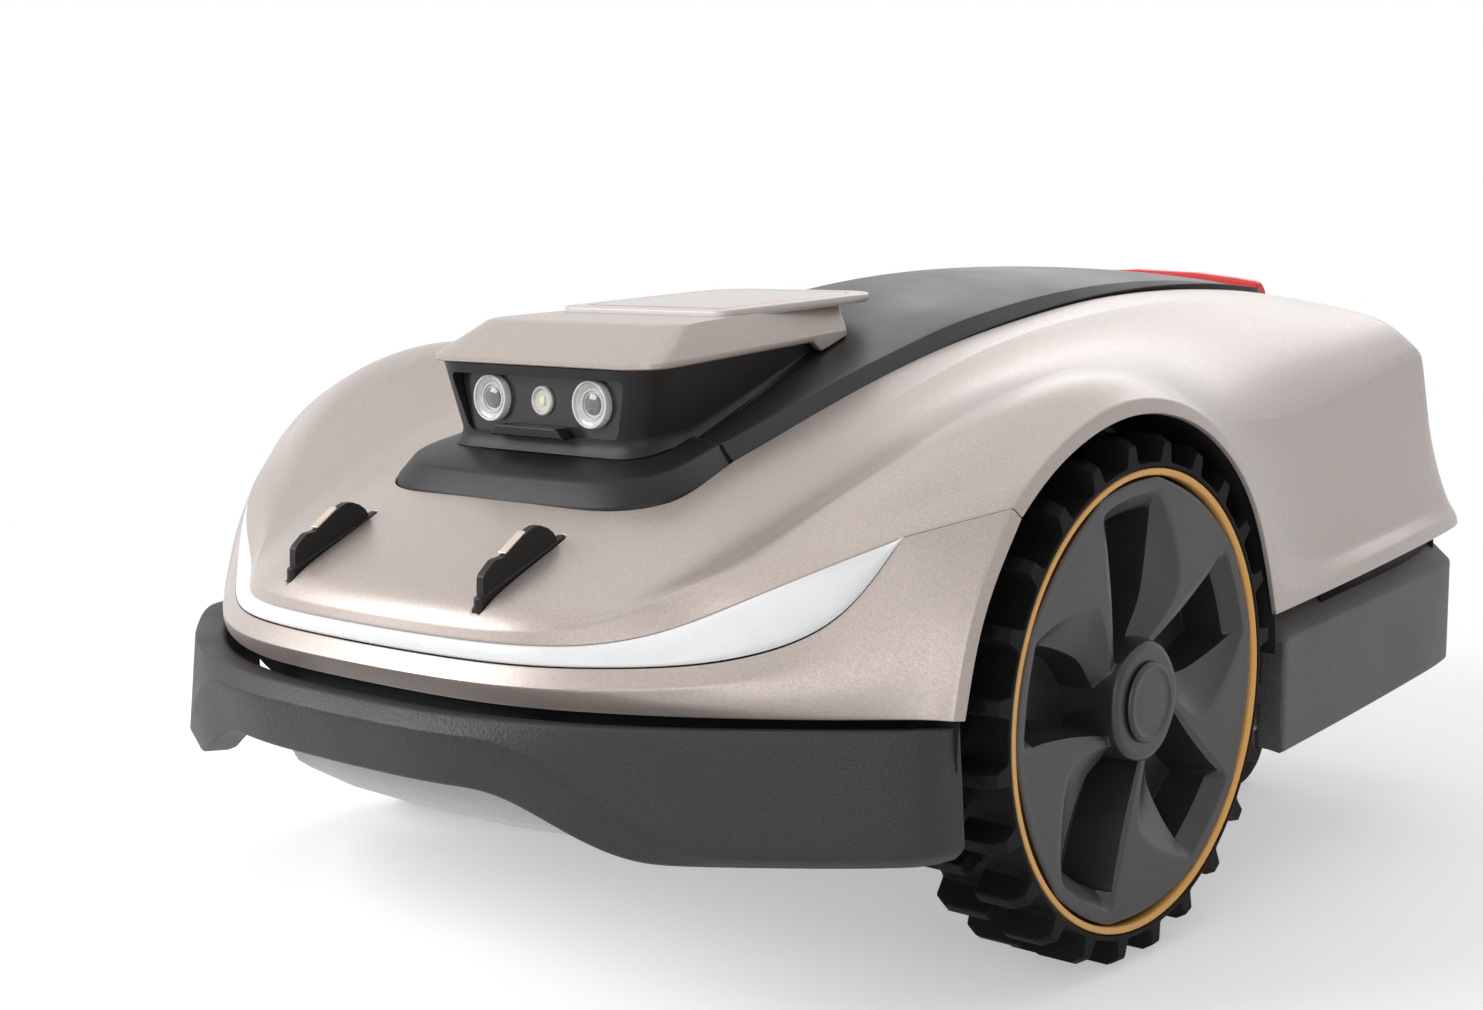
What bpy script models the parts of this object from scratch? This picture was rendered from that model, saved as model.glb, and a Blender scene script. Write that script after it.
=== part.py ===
"""Robotic lawn mower as an assembly of named pieces. Metres, nose towards -Y, wheels on z = 0."""

import math

import bmesh
import bpy
from mathutils import Matrix, Vector

for leftover in list(bpy.data.objects):
    bpy.data.objects.remove(leftover)

MM = 0.001

# Body. Its feature lines were drawn in millimetres on a body of the drawn size and stretch with it.
BODY_LENGTH = 0.730
BODY_WIDTH = 0.530
DRAWN_LENGTH = 730.0
DRAWN_WIDTH = 530.0
SHELL = 0.0025
SEAM = 0.0005
CLEAR = 0.0004


def lengthways(y):
    """A place drawn along the body in millimetres, put on the body."""
    return y * BODY_LENGTH / DRAWN_LENGTH



# Drive wheels
TYRE_RADIUS = 0.130
TYRE_WIDTH = 0.057
LUG_COUNT = 24
LUG_HEIGHT = 0.0135
TYRE_BAND = 0.007
AXLE_Y = lengthways(-74)
WHEEL_FACE_X = 0.262
RIM_RADIUS = TYRE_RADIUS - LUG_HEIGHT - TYRE_BAND
RING_WIDTH = 0.0036
COVER_DEPTH = 0.024
POCKETS = 5
HUB_RADIUS = 0.034
HUB_CAP_RADIUS = 0.018
AXLE_RADIUS = 0.007
MOTOR_RADIUS = 0.028
MOTOR_INNER_X = 0.070
MOTOR_OUTER_X = 0.158
ARCH_GAP = 0.0145

# Chassis tub
TUB_BOTTOM = 0.078
TUB_FLOOR = 0.0885
TUB_TOP = 0.150
TUB_WALL = 0.004
TUB_HALF = 0.163
TUB_NOSE_Y = lengthways(-314)

# Front bumper
BUMPER_LEDGE_Z = 0.143
BUMPER_CREASE_Z = 0.135
BUMPER_BAND_Z = 0.110
BUMPER_LOBE_Z = 0.083
BUMPER_WALL = 0.018
BUMPER_PIN_RADIUS = 0.005
BUMPER_PIN_X = 0.090

# Rear skirt
SKIRT_DEPTH = 0.075
SKIRT_CHAMFER = 0.011

# Roof spine and turret
SPINE_HALF = 0.0945
SPINE_THICK = 0.009
DECK_Y = lengthways(-185)
DECK_Z = 0.2525
DECK_SLOPE = 0.295
BASE_NOSE_Y = lengthways(-258)
BASE_NOSE_Z = 0.235
HOUSING_HALF = 0.079
HOUSING_REAR_HALF = 0.0495
HOUSING_TAPER = 0.009
HOUSING_FRONT_Y = lengthways(-231)
HOUSING_TOP = 0.289
CAP_HALF = 0.0835
CAP_REAR_HALF = 0.054
CAP_FRONT_Y = lengthways(-232)
CAP_REAR_Y = lengthways(-42)
CAP_SLOPE = 0.054
WINDOW_HALF = 0.0605
WINDOW_LOW = 0.2535
WINDOW_HIGH = 0.2840
LENS_X = 0.036
LENS_Z = 0.2715
LENS_RADIUS = 0.0122
PANEL_HALF = 0.060
STOP_PROUD = 0.0035
STOP_DROP = 0.0075

# Charging fins
FIN_X = 0.068
FIN_THICK = 0.0055
FIN_FRONT_Y = lengthways(-332)
FIN_LENGTH = 0.050

# Rear casters
CASTER_X = 0.118
CASTER_Y = lengthways(245)
CASTER_TRAIL = 0.028
CASTER_RADIUS = 0.034
CASTER_WIDTH = 0.026
STEM_RADIUS = 0.008

# Cutting unit
CUT_Y = lengthways(72)
DISC_RADIUS = 0.110
DISC_Z = 0.052
BLADE_PIVOT = 0.096
BLADE_LENGTH = 0.040
BLADE_WIDTH = 0.018
BLADE_MOTOR_RADIUS = 0.030
LIFT_SCREW_X = 0.058
LIFT_SCREW_RADIUS = 0.004

FINISHES = {
    "champagne": ((0.46, 0.42, 0.37), 0.38, 0.6),
    "black": ((0.018, 0.018, 0.019), 0.55, 0.0),
    "grey": ((0.075, 0.073, 0.071), 0.7, 0.0),
    "pale": ((0.55, 0.55, 0.55), 0.6, 0.0),
    "milk": ((0.85, 0.86, 0.87), 0.3, 0.0),
    "rubber": ((0.02, 0.02, 0.02), 0.8, 0.0),
    "orange": ((0.85, 0.33, 0.05), 0.4, 0.0),
    "red": ((0.75, 0.02, 0.015), 0.4, 0.0),
    "copper": ((0.7, 0.35, 0.2), 0.3, 0.9),
    "gold": ((0.75, 0.65, 0.5), 0.3, 0.9),
    "glass": ((0.03, 0.035, 0.04), 0.08, 0.0),
    "white": ((0.8, 0.8, 0.78), 0.4, 0.0),
    "steel": ((0.55, 0.55, 0.56), 0.3, 1.0),
    "green": ((0.03, 0.16, 0.07), 0.6, 0.0),
    "blue": ((0.05, 0.09, 0.2), 0.5, 0.0),
}

parts = bpy.data.collections.new("robotic_mower")
cutters = bpy.data.collections.new("cutters")
bpy.context.scene.collection.children.link(parts)
bpy.context.scene.collection.children.link(cutters)

def body(x, y, z):
    """A point drawn in millimetres, put on the body."""
    return Vector((x * BODY_WIDTH / DRAWN_WIDTH, lengthways(y), z * MM))


def arch(angle, x):
    """A point of the wheel arch's edge, its angle in degrees up from the rear."""
    turn = math.radians(angle)
    radius = TYRE_RADIUS + ARCH_GAP
    side = body(x, 0, 0).x
    return Vector((
        side,
        AXLE_Y - 0.008 + radius * math.cos(turn),
        TYRE_RADIUS - 0.002 + radius * math.sin(turn),
    ))


def keep(name, mesh, finish, collection=parts):
    obj = bpy.data.objects.new(name, mesh)
    collection.objects.link(obj)
    if collection is cutters:
        obj.hide_render = True
        obj.display_type = "WIRE"
        return obj
    colour, rough, metal = FINISHES[finish]
    material = bpy.data.materials.new(name)
    material.use_nodes = True
    shader = material.node_tree.nodes["Principled BSDF"]
    shader.inputs["Base Color"].default_value = (*colour, 1)
    shader.inputs["Roughness"].default_value = rough
    shader.inputs["Metallic"].default_value = metal
    material.diffuse_color = (*colour, 1)
    mesh.materials.append(material)
    return obj


def mesh_of(name, bm):
    mesh = bpy.data.meshes.new(name)
    bmesh.ops.recalc_face_normals(bm, faces=bm.faces)
    bm.to_mesh(mesh)
    bm.free()
    return mesh


def block(name, low, high, finish="black", collection=parts):
    """A box between two corners."""
    bm = bmesh.new()
    bmesh.ops.create_cube(bm, size=1.0)
    low = Vector(low)
    high = Vector(high)
    bmesh.ops.scale(bm, vec=high - low, verts=bm.verts)
    bmesh.ops.translate(bm, vec=(low + high) / 2, verts=bm.verts)
    return keep(name, mesh_of(name, bm), finish, collection)


TURNS = {
    "X": Matrix.Rotation(math.pi / 2, 4, "Y"),
    "Y": Matrix.Rotation(-math.pi / 2, 4, "X"),
    "Z": Matrix.Identity(4),
}


def rod(name, radius, start, end, axis, across, finish="black", collection=parts, sides=24):
    """A round bar from start to end along an axis, centred at the two values across it."""
    bm = bmesh.new()
    bmesh.ops.create_cone(
        bm, cap_ends=True, segments=sides, radius1=radius, radius2=radius, depth=end - start
    )
    bmesh.ops.transform(bm, matrix=TURNS[axis], verts=bm.verts)
    middle = (start + end) / 2
    at = {
        "X": (middle, across[0], across[1]),
        "Y": (across[0], middle, across[1]),
        "Z": (across[0], across[1], middle),
    }[axis]
    bmesh.ops.translate(bm, vec=at, verts=bm.verts)
    return keep(name, mesh_of(name, bm), finish, collection)


def turned(name, profile, axis, at, finish, steps=48, closed=True):
    """A profile of (radius, height) turned about an axis; it runs down its outer side first."""
    mesh = bpy.data.meshes.new(name)
    edges = [(i, i + 1) for i in range(len(profile) - 1)]
    if closed:
        edges.append((len(profile) - 1, 0))
    mesh.from_pydata([(radius, 0, height) for radius, height in profile], edges, [])
    obj = keep(name, mesh, finish)
    screw = obj.modifiers.new("Turn", "SCREW")
    screw.angle = 2 * math.pi
    screw.steps = steps
    screw.render_steps = steps
    screw.use_merge_vertices = True
    screw.merge_threshold = 0.00001
    obj.matrix_world = Matrix.Translation(at) @ TURNS[axis]
    return obj


def outline(name, loops, low, high, finish="black", collection=parts):
    """Flat outlines, holes among them, given a height."""
    curve = bpy.data.curves.new(name, "CURVE")
    curve.dimensions = "2D"
    curve.fill_mode = "BOTH"
    curve.extrude = (high - low) / 2
    for loop in loops:
        spline = curve.splines.new("POLY")
        spline.points.add(len(loop) - 1)
        for point, (x, y) in zip(spline.points, loop):
            point.co = (x, y, 0, 1)
        spline.use_cyclic_u = True
    drawn = bpy.data.objects.new(name + "_outline", curve)
    mesh = bpy.data.meshes.new_from_object(drawn)
    bpy.data.objects.remove(drawn)
    bm = bmesh.new()
    bm.from_mesh(mesh)
    bmesh.ops.remove_doubles(bm, verts=bm.verts, dist=0.000001)
    bmesh.ops.translate(bm, vec=(0, 0, (low + high) / 2), verts=bm.verts)
    bpy.data.meshes.remove(mesh)
    return keep(name, mesh_of(name, bm), finish, collection)


def loft(name, loops, finish="black", collection=parts, ring=False):
    """Closed loops of equal length joined one to the next; the ends are capped."""
    bm = bmesh.new()
    made = [[bm.verts.new(point) for point in loop] for loop in loops]
    pairs = list(zip(made, made[1:]))
    if ring:
        pairs.append((made[-1], made[0]))
    for first, second in pairs:
        count = len(first)
        for i in range(count):
            j = (i + 1) % count
            bm.faces.new((first[i], first[j], second[j], second[i]))
    if not ring:
        bm.faces.new(made[0])
        bm.faces.new(made[-1])
    return keep(name, mesh_of(name, bm), finish, collection)


def cut(obj, *tools, operation="DIFFERENCE"):
    for tool in tools:
        step = obj.modifiers.new(tool.name, "BOOLEAN")
        step.operation = operation
        step.object = tool
        step.solver = "EXACT"


def twin(obj, name, place):
    """A finished copy of a piece at another place."""
    bpy.context.view_layer.update()
    graph = bpy.context.evaluated_depsgraph_get()
    mesh = bpy.data.meshes.new_from_object(obj.evaluated_get(graph))
    mesh.name = name
    copy = bpy.data.objects.new(name, mesh)
    parts.objects.link(copy)
    mesh.materials[0] = obj.data.materials[0].copy()
    mesh.materials[0].name = name
    copy.matrix_world = place @ obj.matrix_world
    return copy


def mirrored(points):
    """A half outline from the middle plane outwards, joined to its mirror image."""
    back = [(-x, y) for x, y in reversed(points) if abs(x) > 1e-6]
    return points + back


def smooth(points, steps):
    """A Catmull-Rom line through the points."""
    points = [Vector(point) for point in points]
    ends = [2 * points[0] - points[1], *points, 2 * points[-1] - points[-2]]
    line = []
    for a, b, c, d in zip(ends, ends[1:], ends[2:], ends[3:]):
        for step in range(steps):
            t = step / steps
            line.append(
                b
                + (c - a) * t / 2
                + (2 * a - 5 * b + 4 * c - d) * t * t / 2
                + (3 * b - a - 3 * c + d) * t ** 3 / 2
            )
    line.append(points[-1])
    return line


def rounded(corners, steps=4):
    """A closed outline of (x, y, radius) corners with its corners rounded."""
    line = []
    count = len(corners)
    for i, (x, y, radius) in enumerate(corners):
        here = Vector((x, y))
        before = Vector(corners[i - 1][:2]) - here
        after = Vector(corners[(i + 1) % count][:2]) - here
        if radius == 0:
            line.append((x, y))
            continue
        half = before.angle(after) / 2
        reach = radius / math.tan(half)
        start = here + before.normalized() * reach
        end = here + after.normalized() * reach
        for step in range(steps + 1):
            t = step / steps
            point = start * (1 - t) ** 2 + here * 2 * t * (1 - t) + end * t * t
            line.append((point.x, point.y))
    return line


def offset(loop, inset):
    """A closed outline moved inwards; it runs anticlockwise."""
    moved = []
    count = len(loop)
    for i in range(count):
        before = Vector(loop[i]) - Vector(loop[i - 1])
        after = Vector(loop[(i + 1) % count]) - Vector(loop[i])
        normal = Vector((-before.y, before.x)).normalized()
        normal += Vector((-after.y, after.x)).normalized()
        normal *= 2 / max(normal.length_squared, 0.5)
        moved.append((loop[i][0] + normal.x * inset, loop[i][1] + normal.y * inset))
    return moved


def at_height(loop, height):
    return [(x, y, height) for x, y in loop]


def skin(name, rows, finish, creases=(), thickness=SHELL):
    """A subdivided half shell through rows of points, mirrored and thickened inwards.

    A crease is (row or None, column or None, first, last, sharpness).
    """
    across = len(rows[0]) - 1
    along = len(rows) - 1
    bm = bmesh.new()
    bmesh.ops.create_grid(bm, x_segments=across, y_segments=along, size=1.0)
    spots = {}
    for vert in bm.verts:
        column = round((vert.co.x + 1) / 2 * across)
        row = round((vert.co.y + 1) / 2 * along)
        spots[vert] = (row, column)
        vert.co = rows[row][column]
    layer = bm.edges.layers.float.new("crease_edge")
    for edge in bm.edges:
        (row_a, column_a), (row_b, column_b) = (spots[vert] for vert in edge.verts)
        for row, column, first, last, sharpness in creases:
            if row is not None and row_a == row_b == row:
                if first <= min(column_a, column_b) and max(column_a, column_b) <= last:
                    edge[layer] = sharpness
            if column is not None and column_a == column_b == column:
                if first <= min(row_a, row_b) and max(row_a, row_b) <= last:
                    edge[layer] = sharpness
    mesh = bpy.data.meshes.new(name)
    bm.to_mesh(mesh)
    bm.free()
    obj = keep(name, mesh, finish)
    mirror = obj.modifiers.new("Mirror", "MIRROR")
    mirror.use_clip = True
    mirror.merge_threshold = 0.0001
    divide = obj.modifiers.new("Subdivision", "SUBSURF")
    divide.levels = 1
    divide.render_levels = 1
    divide.boundary_smooth = "PRESERVE_CORNERS"
    solid = obj.modifiers.new("Solidify", "SOLIDIFY")
    solid.thickness = thickness
    solid.offset = -1
    return obj


# Feature lines of the hood, row by row from its front edge to the rear hem. Each row runs from
# the middle over spine edge, valley, ridge, belt, side and flare to the arch or hem.
HOOD_ROWS = [
    [body(0, -342.5, 174), body(60, -339.5, 174), body(97, -331, 174), body(124, -315, 174.6),
     body(149, -292.2, 180.5), body(182.5, -273.2, 198.1), body(209.9, -249.2, 213.2),
     body(227.4, -222.7, 225.3), arch(134.5, 262.5)],
    [body(0, -341, 179), body(60, -338.5, 179), body(97, -330, 179.3), body(123, -312.5, 181.5),
     body(148.3, -285.4, 197.4), body(180, -264.5, 209), body(207.8, -241.4, 220), body(227.4, -218.2, 230),
     arch(130, 263)],
    [body(0, -334.5, 190.5), body(63, -332, 190.5), body(98, -323, 189.5), body(127, -303, 188),
     body(157, -266, 206.5), body(183.6, -250, 218.1), body(208.1, -230.9, 227.7), body(229.8, -207.9, 236.9),
     arch(125.5, 263.5)],
    [body(0, -300, 207.5), body(72, -294, 207), body(110, -284, 204), body(141, -268, 200),
     body(168, -248, 216.5), body(191.3, -231.5, 232.3), body(213.5, -212, 243.9), body(236, -190, 250.5),
     arch(119, 264)],
    [body(0, -256, 228.5), body(86, -247, 230), body(118, -230, 228), body(156, -222, 221.5),
     body(186, -218, 238), body(204, -203, 253), body(223, -180, 263), body(244, -160, 267),
     arch(110, 265)],
    [body(0, -185, 246), body(98, -180, 246.5), body(123, -170, 245.5), body(166, -168, 241),
     body(205, -172, 264.5), body(220, -152, 275), body(237, -137, 280), body(252, -126, 278.5),
     arch(100, 265.5)],
    [body(0, -98, 272), body(98, -98, 272.5), body(125, -97, 271.8), body(158, -98, 263),
     body(214, -104, 287.5), body(231, -94, 291.5), body(245, -84, 290.5), body(256, -80, 285),
     arch(88, 266)],
    [body(0, -12, 294), body(98, -12, 294.5), body(121, -8, 295.5), body(151, -12, 284.5),
     body(209, -24, 293), body(231, -33, 289.5), body(247, -36, 283.5), body(257, -37, 277),
     arch(72, 266)],
    [body(0, 62, 306.5), body(98, 62, 307), body(123, 63, 306.8), body(153, 57, 294),
     body(204, 38, 287), body(230, 17, 272), body(246, 8, 262), body(256, 5, 256), arch(54, 265.5)],
    [body(0, 130, 316.5), body(98, 130, 317), body(127, 130, 314), body(156, 124, 299),
     body(202, 100, 276.5), body(228, 72, 252), body(244, 50, 236), body(254, 42, 224), arch(35, 265)],
    [body(0, 190, 320.5), body(98, 190, 321), body(130, 190, 317), body(159, 188, 302.5),
     body(197, 176, 283), body(223, 150, 253), body(237, 113, 206), body(247, 88, 170),
     arch(11, 262)],
    [body(0, 250, 321.5), body(98, 250, 322), body(133, 250, 317), body(162, 248, 304),
     body(193, 242, 289), body(218, 230, 264), body(231, 205, 213), body(244, 180, 176),
     body(258, 156, 162)],
    [body(0, 305, 320), body(98, 305, 320.5), body(137, 304, 314), body(164, 304, 304.5),
     body(189, 302, 296), body(214, 300, 274), body(225, 292, 220), body(239, 285, 184),
     body(250.5, 278, 171)],
    [body(0, 346, 315), body(98, 345, 319), body(143, 344, 310.5), body(167, 344, 305.5),
     body(190, 343, 300), body(212.5, 342, 280.5), body(222, 339, 225), body(235, 338, 187),
     body(243, 335, 174)],
    [body(0, 358, 290), body(97, 357.5, 292), body(138, 357, 288), body(163, 356.5, 283),
     body(185, 356, 276), body(207, 354.5, 256), body(217, 352, 219), body(229, 350, 187),
     body(238, 347, 174.5)],
    [body(0, 363, 178), body(92, 362, 178), body(112, 361, 178), body(145, 359, 177.5),
     body(178, 357, 177), body(200, 355, 176.5), body(214, 354, 176), body(226, 353, 175.5),
     body(233, 352, 175)],
]

# The fascia, from its lower edge up to the light bar, the lamp and the seam.
FASCIA_ROWS = [
    [body(0, -341, 146), body(60, -339, 146), body(97, -332, 146), body(127, -320, 146),
     body(162, -301.5, 146), body(194, -280, 146), body(225, -255, 146), body(247, -236.5, 146.5),
     arch(172.8, 262.5)],
    [body(0, -343.5, 150), body(60, -341.3, 150), body(98, -334, 150), body(129, -322, 150.3),
     body(164, -302.5, 151), body(195, -280.5, 154), body(227, -253.5, 158), body(249, -233, 166),
     arch(160, 262.5)],
    [body(0, -348.5, 156), body(60, -346, 156), body(98, -338.3, 156), body(129, -324.8, 156.5),
     body(163.5, -303.5, 158.5), body(192, -279.5, 163), body(224, -252, 172), body(246, -228, 188),
     arch(149, 262.5)],
    [body(0, -343, 164), body(60, -340.5, 164), body(98, -333, 164), body(127, -320, 164.7),
     body(158, -299, 166), body(184, -278, 170), body(218, -250.5, 186.5), body(229.4, -226.7, 220.5),
     arch(135.1, 262.5)],
]

hood = skin("hood_shell", HOOD_ROWS, "champagne", [
    (1, None, 0, 4, 0.75), (None, 4, 1, 7, 0.75), (None, 5, 9, 13, 0.9), (None, 7, 10, 13, 0.9),
    (None, 2, 4, 13, 0.85), (13, None, 2, 6, 0.6),
])
fascia = skin("front_fascia", FASCIA_ROWS, "champagne", [(2, None, 0, 3, 0.85), (2, None, 3, 5, 0.6)])

# The light bar fills the space between the two, bulged a little.
BAR_DEPTH = 0.0018
BAR_BULGE = 0.001
BAR_COLUMNS = 7


def skin_edge(row):
    """Where the subdivided edge of a skin runs: a place at each point and between each two."""
    points = [Vector((-row[1].x, row[1].y, row[1].z)), *row]
    line = []
    for i in range(1, BAR_COLUMNS + 2):
        before, here, after = points[i - 1:i + 2]
        line.append((before + 4 * here + after) / 6)
        if i <= BAR_COLUMNS:
            line.append((before + 23 * here + 23 * after + points[i + 2]) / 48)
    return line


bar_half = []
for low, high in zip(skin_edge(FASCIA_ROWS[-1]), skin_edge(HOOD_ROWS[0])):
    rise = (high - low).normalized()
    outward = Vector((low.x * 0.6, low.y, 0)).normalized()
    low = low + rise * SEAM
    high = high - rise * SEAM
    middle = (low + high) / 2 + outward * BAR_BULGE
    inward = outward * -BAR_DEPTH
    taper = rise * BAR_DEPTH
    bar_half.append([
        low, middle, high, high + inward - taper, middle + inward, low + inward + taper * 0.4,
    ])
bar_loops = [[Vector((-p.x, p.y, p.z)) for p in loop] for loop in reversed(bar_half[1:])]
light_bar = loft("light_bar", bar_loops + bar_half, "milk")


def deck_height(y):
    """Height of the sloping seat that the turret stands on."""
    if y < DECK_Y:
        share = (y - BASE_NOSE_Y) / (DECK_Y - BASE_NOSE_Y)
        return BASE_NOSE_Z + (DECK_Z - BASE_NOSE_Z) * share
    return DECK_Z + DECK_SLOPE * (y - DECK_Y)


# Turret base: a flared, sloping slab let into the hood.
BASE_HALF_OUTLINE = [
    (0.0, BASE_NOSE_Y),
    (0.050, BASE_NOSE_Y + 0.0015),
    (0.072, BASE_NOSE_Y + 0.005),
    (0.087, BASE_NOSE_Y + 0.0125),
    (0.097, BASE_NOSE_Y + 0.024),
    (0.0995, BASE_NOSE_Y + 0.037),
    (0.098, BASE_NOSE_Y + 0.052),
    (SPINE_HALF, DECK_Y - CLEAR),
]
base_ring = mirrored(BASE_HALF_OUTLINE)
base_loops = []
for inset, lift in ((0.0, -0.024), (0.0, -0.0095), (0.009, 0.0)):
    loop = []
    for x, y in base_ring:
        near_rear = y > DECK_Y - 0.002
        shrink = 1 - inset / 0.1
        drawn_y = y if near_rear else (y - DECK_Y) * shrink + DECK_Y
        loop.append((x * shrink, drawn_y, deck_height(drawn_y) + lift))
    base_loops.append(loop)
turret_base = loft("turret_base", base_loops, "black")

# Roof spine: crowned panel from the turret to the stop key. Each station is (y, edge, crown).
SPINE_REAR_Y = lengthways(345)
FLAT_REAR_Y = lengthways(-50)
SPINE_STATIONS = [
    (DECK_Y, DECK_Z, DECK_Z),
    (FLAT_REAR_Y, deck_height(FLAT_REAR_Y), deck_height(FLAT_REAR_Y)),
    (0.0, 0.3045, 0.3165),
    (lengthways(60), 0.315, 0.3285),
    (lengthways(130), 0.3232, 0.334),
    (lengthways(200), 0.3265, 0.335),
    (lengthways(260), 0.3258, 0.333),
    (lengthways(302), 0.3235, 0.3305),
    (SPINE_REAR_Y, 0.319, 0.3275),
]
SPINE_STRIP = 0.009

spine_loops = []
for y, edge, crown in SPINE_STATIONS:
    strip = SPINE_STRIP * min(1.0, (SPINE_REAR_Y + 0.02 - y) / 0.335)
    top = [
        (SPINE_HALF, edge - strip),
        (SPINE_HALF - 0.0075, edge),
        (SPINE_HALF * 0.55, edge + (crown - edge) * 0.68),
        (0.0, crown),
    ]
    top += [(-x, z) for x, z in reversed(top[:-1])]
    under = [(x, z - SPINE_THICK) for x, z in reversed(top)]
    spine_loops.append([(x, y, z) for x, z in top + under])
spine = loft("spine_panel", spine_loops, "black")

# Stop key behind the spine, crowned across and rounded over the hood's rear edge.
STOP_FRONT = SPINE_REAR_Y + CLEAR
STOP_REAR = lengthways(359.5)
STOP_LOW = 0.302
STOP_TRAVEL = 0.004
STOP_HALF = SPINE_HALF - SEAM
stop_loops = []
for share in (-1.0, -0.94, -0.5, 0.0, 0.5, 0.94, 1.0):
    top = SPINE_STATIONS[-1][2] + STOP_PROUD - STOP_DROP * share * share
    stop_loops.append([
        (share * STOP_HALF, y, z) for y, z in (
            (STOP_FRONT, STOP_LOW), (STOP_REAR, STOP_LOW), (STOP_REAR, top - 0.010),
            (STOP_REAR - 0.004, top - 0.003), (STOP_FRONT + 0.002, top), (STOP_FRONT, top - 0.002),
        )
    ])
stop = loft("stop_button", stop_loops, "red")

# The hood's opening follows the base and the spine with a seam all round, and a notch in its rear
# edge leaves the stop key room to sink.
opening = mirrored(BASE_HALF_OUTLINE[:-1] + [(SPINE_HALF, DECK_Y), (SPINE_HALF, SPINE_REAR_Y),
                                             (0.0, SPINE_REAR_Y)])
opening_cutter = outline(
    "hood_opening", [offset(opening, -SEAM)], 0.12, 0.42, collection=cutters
)
key_notch = block(
    "key_notch", (-SPINE_HALF - 2 * SEAM, SPINE_REAR_Y - 0.005, STOP_LOW - STOP_TRAVEL - 2 * SEAM),
    (SPINE_HALF + 2 * SEAM, STOP_REAR + 0.02, 0.42), collection=cutters,
)
cut(hood, opening_cutter, key_notch)


def tilt(y):
    """Rise of the housing's top and of the cap towards the rear."""
    return CAP_SLOPE * (y - CAP_FRONT_Y)


# Turret housing: narrower towards its foot and its rear, trimmed below by the sloping deck.
HOUSING_FOOT = 0.240
HOUSING_REAR_Y = CAP_REAR_Y - 0.010
housing_loops = []
for taper, height in ((HOUSING_TAPER, HOUSING_FOOT), (0.0, HOUSING_TOP)):
    half = HOUSING_HALF - taper
    front = HOUSING_FRONT_Y + taper
    loop = rounded([
        (-half, front, 0.020), (half, front, 0.020), (HOUSING_REAR_HALF, HOUSING_REAR_Y, 0.004),
        (-HOUSING_REAR_HALF, HOUSING_REAR_Y, 0.004),
    ])
    housing_loops.append([(x, y, height + tilt(y)) for x, y in loop])
housing = loft("turret_housing", housing_loops, "black")
below = [(y, deck_height(y) + CLEAR) for y in (0.0, DECK_Y, BASE_NOSE_Y - 0.04)]
below += [(BASE_NOSE_Y - 0.04, 0.1), (0.0, 0.1)]
deck_cutter = loft("deck_trim", [
    [(-0.15, y, z) for y, z in below], [(0.15, y, z) for y, z in below],
], collection=cutters)
WINDOW_BACK = HOUSING_FRONT_Y + 0.012
window_cutter = block(
    "window_recess", (-WINDOW_HALF, -0.27, WINDOW_LOW), (WINDOW_HALF, WINDOW_BACK, WINDOW_HIGH),
    collection=cutters,
)
cut(housing, deck_cutter, window_cutter)

# Cap over the housing, chamfered at the front and sides.
CAP_RISE = 0.0195
CAP_CHAMFER = 0.032
CAP_SIDE = 0.012


def cap_outline(side_inset, front_inset, radius):
    half = CAP_HALF - side_inset
    rear_half = CAP_REAR_HALF - side_inset * 0.6
    front = CAP_FRONT_Y + front_inset
    return rounded([
        (-half, front, radius), (half, front, radius), (rear_half, CAP_REAR_Y, 0.006),
        (-rear_half, CAP_REAR_Y, 0.006),
    ])


cap_low = cap_outline(0.0, 0.0, 0.020)
cap_high = cap_outline(CAP_SIDE, CAP_CHAMFER, 0.016)


def cap_top(y):
    return HOUSING_TOP + CAP_RISE + tilt(y)


cap = loft("turret_cap", [
    [(x, y, HOUSING_TOP + CLEAR + tilt(y)) for x, y in cap_low],
    [(x, y, HOUSING_TOP + 0.003 + tilt(y)) for x, y in cap_low],
    [(x, y, cap_top(y)) for x, y in cap_high],
], "champagne")

# Camera plate, lenses and lamp in the window.
camera_plate = block(
    "camera_plate", (-WINDOW_HALF + CLEAR, WINDOW_BACK - 0.0030, WINDOW_LOW + CLEAR),
    (WINDOW_HALF - CLEAR, WINDOW_BACK - CLEAR, WINDOW_HIGH - CLEAR), "glass",
)
PLATE_FRONT = WINDOW_BACK - 0.0030 - CLEAR
for side, sign in (("left", 1), ("right", -1)):
    rod("camera_lens_" + side, LENS_RADIUS, PLATE_FRONT - 0.004, PLATE_FRONT, "Y",
        (sign * LENS_X, LENS_Z), "glass")
rod("camera_lamp", 0.0075, PLATE_FRONT - 0.002, PLATE_FRONT, "Y", (0.0, LENS_Z), "white")

# Control frame, gasket and touch panel, lying along the cap's top.
PANEL_FRONT = lengthways(-153)
PANEL_REAR = lengthways(-16)


def lying(name, loops, low, high, finish):
    """A flat piece laid on the cap's sloping top, at heights above it."""
    obj = outline(name, loops, low, high, finish)
    for vert in obj.data.vertices:
        vert.co.z += cap_top(vert.co.y)
    return obj


def panel_outline(inset):
    half = PANEL_HALF - inset
    front = PANEL_FRONT + inset
    rear = PANEL_REAR - inset
    tight = max(0.005, 0.010 - inset)
    wide = max(0.005, 0.024 - inset)
    return rounded([
        (-half, front, tight), (half, front, tight), (half, rear, wide), (-half, rear, wide),
    ])


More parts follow.
